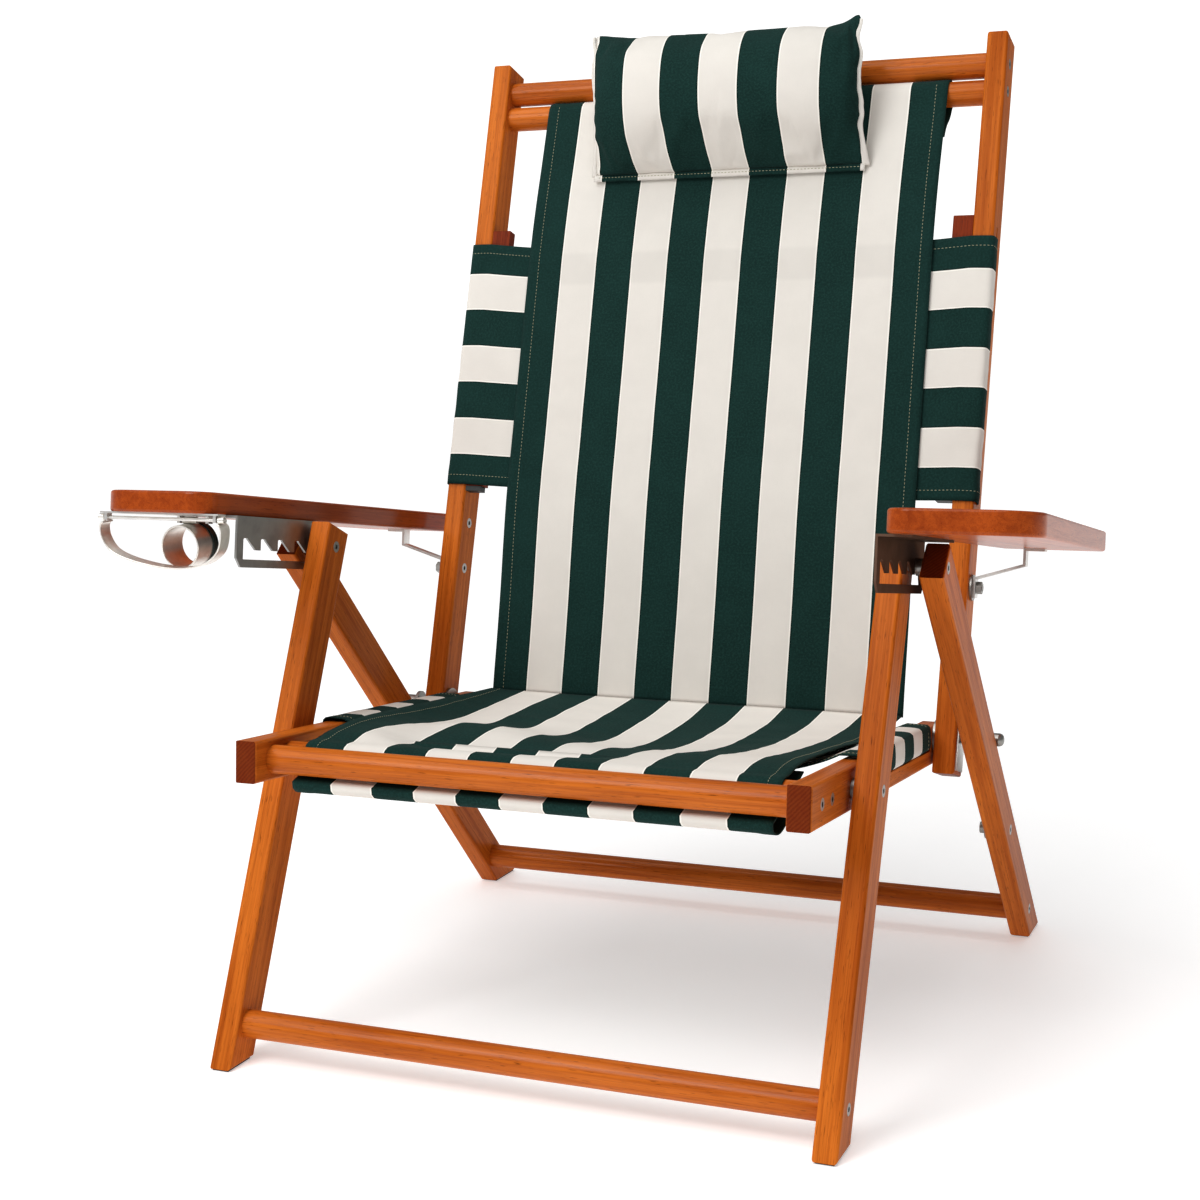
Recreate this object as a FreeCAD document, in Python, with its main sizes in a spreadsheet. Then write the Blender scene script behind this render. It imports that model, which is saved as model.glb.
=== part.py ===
"""Folding wooden deck chair with a striped sling, five-position arms and a drop-down cup holder.

Frame: +Z up, the sitter faces -Y, +X is the sitter's left. The origin is on the floor, under the
middle of the chair. All lengths are millimetres and all angles are degrees.

The chair is four wooden frames in layers, from the middle outwards: the seat frame, then the front
legs and the back frame side by side, then the rear legs. The arms are pivoted on the back rails
and rest on the leg-top bolts in one of five notches. Two steel links hold the rear legs to the
seat's rear pivots, and a stop on each link bears on the rear leg when the chair is open.
"""
import FreeCAD, Part
import Sketcher
import math
import os
from FreeCAD import Vector

doc = FreeCAD.newDocument("DeckChair")
sheet = doc.addObject("Spreadsheet::Sheet", "Sizes")

# Driving sizes: name, value, what it is.
SIZES = [
    ("member_thick", 20.0, "thickness of every leg and rail, across the chair"),
    ("member_wide", 35.0, "width of every leg and rail, seen from the side"),
    ("edge_soft", 2.5, "radius of the rubbed edges of the wood"),
    ("dowel_dia", 24.0, "diameter of every cross dowel"),
    ("seat_rail_mid", 236.5, "middle of the seat rails from the centre plane"),
    ("back_rail_mid", 259.0, "middle of the back rails from the centre plane"),
    ("front_leg_mid", 261.5, "middle of the front legs from the centre plane"),
    ("rear_leg_mid", 294.0, "middle of the rear legs from the centre plane"),
    ("front_lean", 24.0, "lean of the front legs from upright"),
    ("back_lean", 17.0, "lean of the back frame from upright at the first notch"),
    ("seat_slope", 4.8, "fall of the seat rails towards the rear"),
    ("arm_slope", 8.0, "fall of the arms towards the rear"),
    ("pin_height", 418.5, "height of the bolts that join the leg tops"),
    ("front_top_over", 18.0, "front leg beyond its top bolt"),
    ("rear_top_over", 9.0, "rear leg beyond its top bolt"),
    ("seat_pivot_drop", 181.7, "seat pivot below the top bolt, along the front leg"),
    ("seat_reach", 283.0, "seat pivot to back pivot, along the seat rail"),
    ("back_pivot_rise", 8.0, "back pivot above the middle line of the seat rail"),
    ("seat_front_over", 111.0, "seat rail in front of its pivot"),
    ("seat_rear_over", 26.0, "seat rail behind the back pivot"),
    ("back_foot_over", 35.0, "back rail below its pivot"),
    ("top_dowel_reach", 641.7, "top dowel above the back pivot"),
    ("back_top_over", 26.3, "back rail above its top dowel"),
    ("back_dowel_gap", 27.0, "spacing of the two dowels at the top of the back"),
    ("seat_dowel_reach", 83.0, "front dowel in front of the seat pivot"),
    ("seat_dowel_gap", 27.0, "spacing of the two dowels at the front of the seat"),
    ("rear_dowel_inset", 10.0, "rear seat dowel in front of the back pivot"),
    ("rung_height", 32.0, "height of the rungs near the floor"),
    ("arm_pivot_reach", 137.7, "arm pivot above the back pivot, along the back rail"),
    ("upper_bolt_reach", 184.4, "upper bolt above the back pivot, along the back rail"),
    ("link_bolt_reach", 390.0, "link bolt below the top bolt, along the rear leg"),
    ("stop_dia", 12.0, "diameter of the stop that bears on the rear leg"),
    ("bolt_dia", 6.0, "shank of the pivot bolts"),
    ("back_washer_dia", 30.0, "washers between the seat rails and the back rails"),
    ("arm_washer_dia", 24.0, "washers between the back rails and the arm straps"),
    ("arm_washer_thick", 2.0, "thickness of the washers under the arm straps"),
    ("pin_dia", 7.0, "shank of the leg-top bolts"),
    ("hole_play", 0.1, "radial play of a shank in its hole"),
    ("head_dia", 10.0, "diameter of the sunk heads"),
    ("head_deep", 3.0, "depth of the sunk heads"),
    ("socket_wide", 4.0, "key socket in a head, across its flats"),
    ("pad_thick", 1.5, "thickness of the foot pads"),
    ("arm_inner", 288.0, "inner edge of the arms from the centre plane"),
    ("arm_wide", 114.0, "width of an arm at its front"),
    ("arm_taper", 20.0, "loss of width of an arm towards its rear end"),
    ("arm_thick", 18.5, "thickness of an arm"),
    ("arm_front", 156.0, "arm in front of the top bolt"),
    ("arm_rear_over", 48.4, "arm behind its pivot"),
    ("arm_rise", 22.6, "underside of the arm above the top bolt"),
    ("plate_thick", 2.0, "thickness of the notch plates"),
    ("plate_mid", 277.0, "middle of the notch plates from the centre plane"),
    ("plate_front", 124.0, "notch plate in front of the top bolt"),
    ("plate_rear", 26.0, "notch plate behind the top bolt"),
    ("flange_wide", 26.0, "width of the notch plate's flange under the arm"),
    ("notch_pitch", 27.5, "spacing of the five notches"),
    ("notch_deep", 10.0, "depth of a notch from its top to the tips of the teeth"),
    ("slot_high", 8.0, "height of the clear slot under the teeth"),
    ("bar_wide", 7.0, "width of the bar under the slot"),
    ("foot_plate_wide", 26.0, "width of the plates at the back rails' feet"),
    ("foot_plate_long", 48.0, "length of the plates at the back rails' feet"),
    ("foot_plate_thick", 1.5, "thickness of the plates at the back rails' feet"),
    ("strap_thick", 2.5, "thickness of the arm straps"),
    ("strap_wide", 12.0, "width of the arm straps"),
    ("strap_out", 317.5, "upright part of the arm straps from the centre plane"),
    ("link_thick", 3.0, "thickness of the links"),
    ("link_wide", 20.0, "width of the links"),
    ("link_mid", 282.3, "middle of the links from the centre plane"),
    ("sling_wide", 412.0, "width of the sling, eleven stripes"),
    ("cloth_thick", 1.6, "thickness of the doubled cloth"),
    ("band_thick", 1.4, "thickness of the doubled bands"),
    ("seat_sag", 14.0, "sag of the seat cloths midway between the rails"),
    ("loop_drop", 15.0, "loose loop of the sling below the front seat dowel"),
    ("back_band_low", 220.0, "lower edge of the back band above the back pivot"),
    ("back_band_drop", 173.7, "upper edge of the back band below the top dowel"),
    ("seat_band_front", 32.0, "front edge of the seat band behind the seat pivot"),
    ("seat_band_gap", 27.0, "rear edge of the seat band in front of the back pivot"),
    ("batten_wide", 19.0, "width of the battens beside the back rails"),
    ("batten_thick", 12.0, "thickness of the battens beside the back rails"),
    ("groove_wide", 3.4, "width of the grooves that hold the bands' edges"),
    ("groove_off", 2.0, "grooves' distance from the middle line of the rails"),
    ("groove_deep", 6.0, "depth of the grooves that hold the bands' edges"),
    ("pillow_wide", 296.0, "width of the head pillow"),
    ("pillow_high", 150.0, "height of the head pillow"),
    ("pillow_thick", 62.0, "crown of the head pillow"),
    ("pillow_drop", 103.7, "lower edge of the pillow below the top dowel"),
    ("hoop_wide", 126.0, "width of the cup stirrup"),
    ("hoop_drop", 42.0, "depth of the cup stirrup below its pin"),
    ("hoop_strip", 9.0, "width of the stirrup's strip"),
    ("ring_dia", 45.0, "outer diameter of the bottle ring"),
    ("ring_long", 24.0, "length of the bottle ring along its axis"),
    ("cup_metal", 1.5, "thickness of the stirrup and the ring"),
    ("cup_front", 14.0, "stirrup's pin behind the arm's front end"),
    ("cup_step", 34.0, "ring's pin behind the stirrup's pin"),
    ("cup_pin_drop", 5.0, "cup holder's pins below the arm"),
    ("cup_pin_dia", 3.0, "diameter of the cup holder's pins"),
    ("ring_mid", 329.5, "middle of the bottle ring from the centre plane"),
]


class Size:
    """A length with its number and the text of the formula that gives it in the sheet."""

    def __init__(self, number, text):
        self.number = float(number)
        self.text = text

    @staticmethod
    def of(other):
        return other if isinstance(other, Size) else Size(other, repr(float(other)))

    def __add__(self, other):
        other = Size.of(other)
        return Size(self.number + other.number, f"({self.text} + {other.text})")

    __radd__ = __add__

    def __sub__(self, other):
        other = Size.of(other)
        return Size(self.number - other.number, f"({self.text} - {other.text})")

    def __rsub__(self, other):
        return Size.of(other) - self

    def __mul__(self, other):
        other = Size.of(other)
        return Size(self.number * other.number, f"({self.text} * {other.text})")

    __rmul__ = __mul__

    def __truediv__(self, other):
        other = Size.of(other)
        return Size(self.number / other.number, f"({self.text} / {other.text})")

    def __neg__(self):
        return Size(-self.number, f"(0 - {self.text})")


def tangent(angle):
    """The tangent of an angle size."""
    return Size(math.tan(math.radians(angle.number)), f"tan({angle.text} * 1deg)")


def cosine(angle):
    """The cosine of an angle size."""
    return Size(math.cos(math.radians(angle.number)), f"cos({angle.text} * 1deg)")


class Sizes:
    """Every driving size by its name."""


z = Sizes()
for row, (name, value, note) in enumerate(SIZES, start=1):
    sheet.set(f"A{row}", name)
    sheet.set(f"B{row}", str(value))
    sheet.set(f"C{row}", note)
    sheet.setAlias(f"B{row}", name)
    setattr(z, name, Size(value, f"Sizes.{name}"))
doc.recompute()

parts = {}


def keep(feature):
    """Lists a finished sub-part under its label."""
    parts[feature.Label] = feature
    return feature


def sind(angle):
    return math.sin(math.radians(angle))


def cosd(angle):
    return math.cos(math.radians(angle))


def side_point(start, along, across, lean):
    """A point in the side view: along a line that leans by lean, and across it to the front."""
    return (start[0] + along * sind(lean) - across * cosd(lean),
            start[1] + along * cosd(lean) + across * sind(lean))


# Places in the side view, as (y, z) with y = 0 at the front legs' front lower edge.
half_wide = z.member_wide.number / 2
PIN = (half_wide / cosd(z.front_lean.number) + z.pin_height.number * math.tan(math.radians(z.front_lean.number)),
       z.pin_height.number)
SEAT_PIVOT = side_point(PIN, -z.seat_pivot_drop.number, 0, z.front_lean.number)
seat_tilt = -90.0 - z.seat_slope.number
BACK_PIVOT = (SEAT_PIVOT[0] + z.seat_reach.number * cosd(z.seat_slope.number)
              + z.back_pivot_rise.number * sind(z.seat_slope.number),
              SEAT_PIVOT[1] - z.seat_reach.number * sind(z.seat_slope.number)
              + z.back_pivot_rise.number * cosd(z.seat_slope.number))
pin_to_back = (BACK_PIVOT[0] - PIN[0], PIN[1] - BACK_PIVOT[1])
stop_offset = half_wide + z.stop_dia.number / 2 + 0.3
rear_lean = (math.degrees(math.atan2(*pin_to_back))
             - math.degrees(math.asin(stop_offset / math.hypot(*pin_to_back))))
LINK_BOLT = (PIN[0] + z.link_bolt_reach.number * sind(rear_lean),
             PIN[1] - z.link_bolt_reach.number * cosd(rear_lean))
ARM_PIVOT = side_point(BACK_PIVOT, z.arm_pivot_reach.number, 0, z.back_lean.number)
REAR_FOOT = (PIN[0] + PIN[1] * math.tan(math.radians(rear_lean)), 0.0)
depth = REAR_FOOT[0] + half_wide / cosd(rear_lean)
MIDDLE = depth / 2
BAND_HIGH = z.top_dowel_reach - z.back_band_drop
BAND_REAR = z.seat_reach - z.seat_band_gap
PILLOW_FOOT = z.top_dowel_reach - z.pillow_drop


def frame(point, along, x=0.0):
    """A placement in the side plane: local x runs along, local y a quarter turn on, local z to +X."""
    dy, dz = along
    matrix = FreeCAD.Matrix(0, 0, 1, x,
                            dy, -dz, 0, point[0] - MIDDLE,
                            dz, dy, 0, point[1],
                            0, 0, 0, 1)
    return FreeCAD.Placement(matrix)


def up(lean):
    return (sind(lean), cosd(lean))


def down(lean):
    return (-sind(lean), -cosd(lean))


def origin_plane(body, role):
    """The body's own origin plane with that role."""
    return next(f for f in body.Origin.OriginFeatures if f.Role == role)


def new_sketch(body, name):
    sketch = body.newObject("Sketcher::SketchObject", name)
    sketch.AttachmentSupport = [(origin_plane(body, "XY_Plane"), "")]
    sketch.MapMode = "FlatFace"
    return sketch


def pin_point(sketch, geometry, end, x, y):
    """Holds a point of a sketch at x, y, each bound to the sheet."""
    for kind, axis, size in (("DistanceX", -2, x), ("DistanceY", -1, y)):
        size = Size.of(size)
        if abs(size.number) < 1e-9:
            sketch.addConstraint(Sketcher.Constraint("PointOnObject", geometry, end, axis))
            continue
        index = sketch.addConstraint(Sketcher.Constraint(kind, -1, 1, geometry, end, size.number))
        if "Sizes." in size.text:
            sketch.setExpression(f"Constraints[{index}]", size.text)


def add_outline(sketch, corners):
    """A closed outline of straight sides through the corners."""
    points = [Vector(Size.of(x).number, Size.of(y).number, 0) for x, y in corners]
    count = len(points)
    first = len(sketch.Geometry)
    for i in range(count):
        sketch.addGeometry(Part.LineSegment(points[i], points[(i + 1) % count]), False)
    for i in range(count):
        sketch.addConstraint(Sketcher.Constraint("Coincident", first + i, 2, first + (i + 1) % count, 1))
    for i, (x, y) in enumerate(corners):
        pin_point(sketch, first + i, 1, x, y)


def add_circle(sketch, x, y, radius):
    """A circle whose middle and radius are bound to the sheet."""
    radius = Size.of(radius)
    centre = Vector(Size.of(x).number, Size.of(y).number, 0)
    index = sketch.addGeometry(Part.Circle(centre, Vector(0, 0, 1), radius.number), False)
    pin_point(sketch, index, 3, x, y)
    number = sketch.addConstraint(Sketcher.Constraint("Radius", index, radius.number))
    if "Sizes." in radius.text:
        sketch.setExpression(f"Constraints[{number}]", radius.text)


def edges_of(feature, wanted):
    """The names of the feature's edges for which wanted(edge) is true."""
    return [f"Edge{i}" for i, edge in enumerate(feature.Shape.Edges, start=1) if wanted(edge)]


def is_straight(edge):
    return isinstance(edge.Curve, Part.Line)


def board(label, corners, thick, holes=(), sinks=(), corner_rounds=(), soften=None, groove=None, window=None):
    """A flat piece cut to an outline, with holes, sunk seats and softened edges.

    holes are (x, y, radius); sinks are (x, y, radius, depth, face) with face +1 or -1 along local z;
    corner_rounds are (x, y, radius) of upright corners; soften rounds both faces' outer edges;
    groove is (from x, to x, y, width, depth, face); window is an outline cut right through.
    """
    body = doc.addObject("PartDesign::Body", label)
    body.Label = label
    outline = new_sketch(body, label + "_outline")
    add_outline(outline, corners)
    pad = body.newObject("PartDesign::Pad", label + "_pad")
    pad.Profile = outline
    pad.Midplane = True
    pad.setExpression("Length", thick.text)
    doc.recompute()
    last = pad
    for number, (x, y, radius) in enumerate(corner_rounds, start=1):
        def at_corner(edge, x=x, y=y):
            middle = edge.CenterOfMass
            return (abs(middle.x - Size.of(x).number) < 0.01 and abs(middle.y - Size.of(y).number) < 0.01
                    and abs(middle.z) < 0.01)
        fillet = body.newObject("PartDesign::Fillet", f"{label}_corner{number}")
        fillet.Base = (last, edges_of(last, at_corner))
        fillet.setExpression("Radius", Size.of(radius).text)
        doc.recompute()
        last = fillet
    if soften is not None:
        def on_rim(edge):
            return abs(abs(edge.CenterOfMass.z) - thick.number / 2) < 0.01
        fillet = body.newObject("PartDesign::Fillet", label + "_soft")
        fillet.Base = (last, edges_of(last, on_rim))
        fillet.setExpression("Radius", soften.text)
        doc.recompute()
        last = fillet
    if window is not None:
        opening = new_sketch(body, label + "_window")
        add_outline(opening, window)
        pocket = body.newObject("PartDesign::Pocket", label + "_open")
        pocket.Profile = opening
        pocket.Type = "ThroughAll"
        pocket.Midplane = True
        doc.recompute()
        last = pocket
    if groove is not None:
        low, high, across, wide, deep, face = groove
        slot = new_sketch(body, label + "_slot")
        add_outline(slot, [(low, across - wide / 2), (high, across - wide / 2),
                           (high, across + wide / 2), (low, across + wide / 2)])
        slot.setExpression("AttachmentOffset.Base.z", f"{'' if face > 0 else '0 - '}({thick.text} / 2)")
        pocket = body.newObject("PartDesign::Pocket", label + "_groove")
        pocket.Profile = slot
        pocket.setExpression("Length", deep.text)
        pocket.Reversed = face < 0
        before = last.Shape.Volume
        doc.recompute()
        if pocket.Shape.Volume > before - 100.0:
            raise RuntimeError(f"the groove of {label} cuts nothing")
        last = pocket
    if holes:
        drill = new_sketch(body, label + "_holes")
        for x, y, radius in holes:
            add_circle(drill, x, y, radius)
        pocket = body.newObject("PartDesign::Pocket", label + "_drill")
        pocket.Profile = drill
        pocket.Type = "ThroughAll"
        pocket.Midplane = True
        doc.recompute()
        last = pocket
    for face in (1, -1):
        seats = [s for s in sinks if s[4] == face]
        if not seats:
            continue
        seat = new_sketch(body, f"{label}_seats{'A' if face > 0 else 'B'}")
        for x, y, radius, deep, _ in seats:
            add_circle(seat, x, y, radius)
        seat.setExpression("AttachmentOffset.Base.z",
                           f"{'' if face > 0 else '0 - '}({thick.text} / 2)")
        pocket = body.newObject("PartDesign::Pocket", f"{label}_sink{'A' if face > 0 else 'B'}")
        pocket.Profile = seat
        pocket.setExpression("Length", Size.of(seats[0][3]).text)
        pocket.Reversed = face < 0
        before = last.Shape.Volume
        doc.recompute()
        if pocket.Shape.Volume > before - 1.0:
            raise RuntimeError(f"the sunk seats of {label} cut nothing")
        last = pocket
    body.Tip = last
    doc.recompute()
    return body


def placed(body, placement):
    body.Placement = placement
    return keep(body)


def rod(name, radius, long, x, point):
    """A round rod along X that starts at x, at a point of the side view."""
    cylinder = doc.addObject("Part::Cylinder", name)
    cylinder.setExpression("Radius", Size.of(radius).text)
    cylinder.setExpression("Height", Size.of(long).text)
    cylinder.Placement = FreeCAD.Placement(Vector(x, point[0] - MIDDLE, point[1]),
                                           FreeCAD.Rotation(Vector(0, 1, 0), 90))
    return cylinder


def fused(name, pieces):
    joined = doc.addObject("Part::MultiFuse", name)
    joined.Shapes = pieces
    return joined


def cut(name, base, tool):
    result = doc.addObject("Part::Cut", name)
    result.Base = base
    result.Tool = tool
    return result


def group(label, pieces):
    """One node that holds several separate solids alike."""
    compound = doc.addObject("Part::Compound", label)
    compound.Label = label
    compound.Links = pieces
    doc.recompute()
    return keep(compound)


def bolt(name, point, seat_x, end_x, shank, head=None):
    """A socket-head bolt along X whose head's face is at seat_x and whose tip is at end_x.

    head is (diameter, depth); the key socket is sunk in the head's face.
    """
    head = head or (z.head_dia, z.head_deep)
    way = 1 if end_x > seat_x else -1
    low = min(seat_x, end_x)
    long = abs(end_x - seat_x)
    stem = rod(name + "_shank", shank / 2, long, low, point)
    cap_low = seat_x if way > 0 else seat_x - head[1].number
    cap = rod(name + "_cap", head[0] / 2, head[1], cap_low, point)
    whole = fused(name + "_whole", [stem, cap])
    key = doc.addObject("Part::Prism", name + "_key")
    key.Polygon = 6
    key.setExpression("Circumradius", (z.socket_wide / 2 / cosine(Size.of(30.0))).text)
    key.setExpression("Height", (head[1] * 0.6).text)
    key_low = seat_x if way > 0 else seat_x - head[1].number * 0.6
    key.Placement = FreeCAD.Placement(Vector(key_low, point[0] - MIDDLE, point[1]),
                                      FreeCAD.Rotation(Vector(0, 1, 0), 90))
    return cut(name, whole, key)


hole_radius = z.bolt_dia / 2 + z.hole_play
pin_hole = z.pin_dia / 2 + z.hole_play
head_radius = z.head_dia / 2 + z.hole_play
SIDES = (("left", 1), ("right", -1))


def legs():
    """Front and rear leg frames with their rungs, foot pads and bolts."""
    lean = z.front_lean
    half = z.member_wide / 2
    foot_front = (z.pin_height - z.pad_thick) / cosine(lean) + half * tangent(lean)
    foot_back = (z.pin_height - z.pad_thick) / cosine(lean) - half * tangent(lean)
    rung_front = (z.pin_height - z.rung_height) / cosine(lean)
    for side, sign in SIDES:
        leg = board(f"front_leg_{side}",
                    [(-z.front_top_over, -half), (foot_front, -half), (foot_back, half), (-z.front_top_over, half)],
                    z.member_thick,
                    holes=[(0, 0, pin_hole), (z.seat_pivot_drop, 0, hole_radius), (rung_front, 0, hole_radius)],
                    sinks=[(0, 0, head_radius, z.head_deep, -sign),
                           (z.seat_pivot_drop, 0, head_radius, z.head_deep, sign),
                           (rung_front, 0, head_radius, z.head_deep, sign)],
                    soften=z.edge_soft)
        placed(leg, frame(PIN, down(lean.number), sign * z.front_leg_mid.number))
    turn = Size(rear_lean, repr(rear_lean))
    under_foot = (z.pin_height - z.pad_thick) / cosine(turn) - half * tangent(turn)
    upper_foot = (z.pin_height - z.pad_thick) / cosine(turn) + half * tangent(turn)
    rung_rear = (z.pin_height - z.rung_height) / cosine(turn)
    away = (sind(rear_lean), -cosd(rear_lean))
    for side, sign in SIDES:
        leg = board(f"rear_leg_{side}",
                    [(-z.rear_top_over, -half), (under_foot, -half), (upper_foot, half),
                     (-z.rear_top_over, half)],
                    z.member_thick,
                    holes=[(0, 0, pin_hole), (z.link_bolt_reach, 0, hole_radius), (rung_rear, 0, hole_radius)],
                    sinks=[(0, 0, head_radius, z.head_deep, sign),
                           (z.link_bolt_reach, 0, head_radius, z.head_deep, sign),
                           (rung_rear, 0, head_radius, z.head_deep, sign)],
                    soften=z.edge_soft)
        placed(leg, frame(PIN, away, sign * z.rear_leg_mid.number))
    front_rung_at = side_point(PIN, -rung_front.number, 0, lean.number)
    rear_rung_at = (PIN[0] + rung_rear.number * sind(rear_lean), z.rung_height.number)
    for label, mid, point in (("front_rung", z.front_leg_mid, front_rung_at),
                              ("rear_rung", z.rear_leg_mid, rear_rung_at)):
        inner = mid - z.member_thick / 2
        bar = rod(label + "_bar", z.dowel_dia / 2, inner * 2, -inner.number, point)
        drills = []
        for side, sign in SIDES:
            start = inner.number - 25.0 if sign > 0 else -inner.number
            drills.append(rod(f"{label}_drill_{side}", z.bolt_dia / 2 + z.hole_play, 25.0, start, point))
        piece = cut(label, bar, fused(label + "_drills", drills))
        piece.Label = label
        doc.recompute()
        keep(piece)
        outer = mid.number + z.member_thick.number / 2
        group(label + "_screws",
              [bolt(f"{label}_screw_{side}", point, sign * outer, sign * (inner.number - 24.0), z.bolt_dia)
               for side, sign in SIDES])
    for label, mid, point, angle in (("front_foot_pads", z.front_leg_mid, (half_wide / cosd(lean.number), 0), lean.number),
                                     ("rear_foot_pads", z.rear_leg_mid, REAR_FOOT, rear_lean)):
        pads = []
        for side, sign in SIDES:
            pad = doc.addObject("Part::Box", f"{label}_{side}")
            long = z.member_wide / cosine(Size(angle, repr(angle))) - z.edge_soft * 2
            wide = z.member_thick - z.edge_soft * 2
            pad.setExpression("Length", wide.text)
            pad.setExpression("Width", long.text)
            pad.setExpression("Height", z.pad_thick.text)
            pad.Placement = FreeCAD.Placement(
                Vector(sign * mid.number - wide.number / 2, point[0] - long.number / 2 - MIDDLE, 0),
                FreeCAD.Rotation())
            pads.append(pad)
        group(label, pads)


def seat_frame():
    """Seat rails, three dowels and the screws that hold them."""
    half = z.member_wide / 2
    front_dowel = z.seat_dowel_reach
    second = front_dowel - z.seat_dowel_gap
    rear_dowel = z.seat_reach - z.rear_dowel_inset
    along = (cosd(z.seat_slope.number), -sind(z.seat_slope.number))
    for side, sign in SIDES:
        holes = [(0, 0, hole_radius), (z.seat_reach, z.back_pivot_rise, hole_radius),
                 (-front_dowel, 0, hole_radius), (-second, 0, hole_radius)]
        sinks = [(-front_dowel, 0, head_radius, z.head_deep, sign), (-second, 0, head_radius, z.head_deep, sign),
                 (0, 0, head_radius, z.head_deep, -sign),
                 (z.seat_reach, z.back_pivot_rise, head_radius, z.head_deep, -sign)]
        end = z.seat_reach + z.seat_rear_over
        rail = board(f"seat_rail_{side}",
                     [(-z.seat_front_over, -half), (end, -half), (end, half), (-z.seat_front_over, half)],
                     z.member_thick, holes=holes, sinks=sinks, soften=z.edge_soft,
                     groove=(z.seat_band_front - 6, BAND_REAR + 6, -z.groove_off, z.groove_wide,
                             z.groove_deep, sign))
        placed(rail, frame(SEAT_PIVOT, along, sign * z.seat_rail_mid.number))
    inner = z.seat_rail_mid - z.member_thick / 2
    for label, reach in (("seat_front_dowel", -front_dowel), ("seat_sling_dowel", -second)):
        point = (SEAT_PIVOT[0] + reach.number * along[0], SEAT_PIVOT[1] + reach.number * along[1])
        drilled_dowel(label, inner, point)
        outer = z.seat_rail_mid.number + z.member_thick.number / 2
        group(label + "_screws",
              [bolt(f"{label}_screw_{side}", point, sign * outer, sign * (inner.number - 24.0), z.bolt_dia)
               for side, sign in SIDES])
    point = (SEAT_PIVOT[0] + rear_dowel.number * along[0], SEAT_PIVOT[1] + rear_dowel.number * along[1])
    bar = rod("seat_rear_dowel", z.dowel_dia / 2, inner * 2, -inner.number, point)
    bar.Label = "seat_rear_dowel"
    keep(bar)


def drilled_dowel(label, inner, point):
    """A cross dowel between two rails, drilled at both ends for its screws."""
    bar = rod(label + "_bar", z.dowel_dia / 2, inner * 2, -inner.number, point)
    drills = []
    for side, sign in SIDES:
        start = inner.number - 25.0 if sign > 0 else -inner.number
        drills.append(rod(f"{label}_drill_{side}", z.bolt_dia / 2 + z.hole_play, 25.0, start, point))
    piece = cut(label, bar, fused(label + "_drills", drills))
    piece.Label = label
    doc.recompute()
    keep(piece)


def back_frame():
    """Back rails with their grooves, two top dowels, battens, pivot plates and bolts."""
    half = z.member_wide / 2
    lean = z.back_lean.number
    top = z.top_dowel_reach
    second = top - z.back_dowel_gap
    for side, sign in SIDES:
        holes = [(0, 0, hole_radius), (top, 0, hole_radius), (second, 0, hole_radius),
                 (z.arm_pivot_reach, 0, hole_radius), (z.upper_bolt_reach, 0, hole_radius)]
        sinks = [(top, 0, head_radius, z.head_deep, sign), (second, 0, head_radius, z.head_deep, sign),
                 (z.arm_pivot_reach, 0, head_radius, z.head_deep, -sign),
                 (z.upper_bolt_reach, 0, head_radius, z.head_deep, -sign)]
        rail = board(f"back_rail_{side}",
                     [(-z.back_foot_over, -half), (top + z.back_top_over, -half), (top + z.back_top_over, half),
                      (-z.back_foot_over, half)],
                     z.member_thick, holes=holes, sinks=sinks, soften=z.edge_soft,
                     groove=(z.back_band_low - 6, BAND_HIGH + 12, z.groove_off, z.groove_wide,
                             z.groove_deep, sign))
        placed(rail, frame(BACK_PIVOT, up(lean), sign * z.back_rail_mid.number))
    inner = z.back_rail_mid - z.member_thick / 2
    outer = z.back_rail_mid.number + z.member_thick.number / 2
    for label, reach in (("back_top_dowel", top), ("back_sling_dowel", second)):
        point = side_point(BACK_PIVOT, reach.number, 0, lean)
        drilled_dowel(label, inner, point)
        group(label + "_screws",
              [bolt(f"{label}_screw_{side}", point, sign * outer, sign * (inner.number - 24.0), z.bolt_dia)
               for side, sign in SIDES])
    upper = side_point(BACK_PIVOT, z.upper_bolt_reach.number, 0, lean)
    group("back_upper_bolts",
          [bolt(f"back_upper_bolt_{side}", upper, sign * inner.number, sign * outer, z.bolt_dia)
           for side, sign in SIDES])


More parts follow.
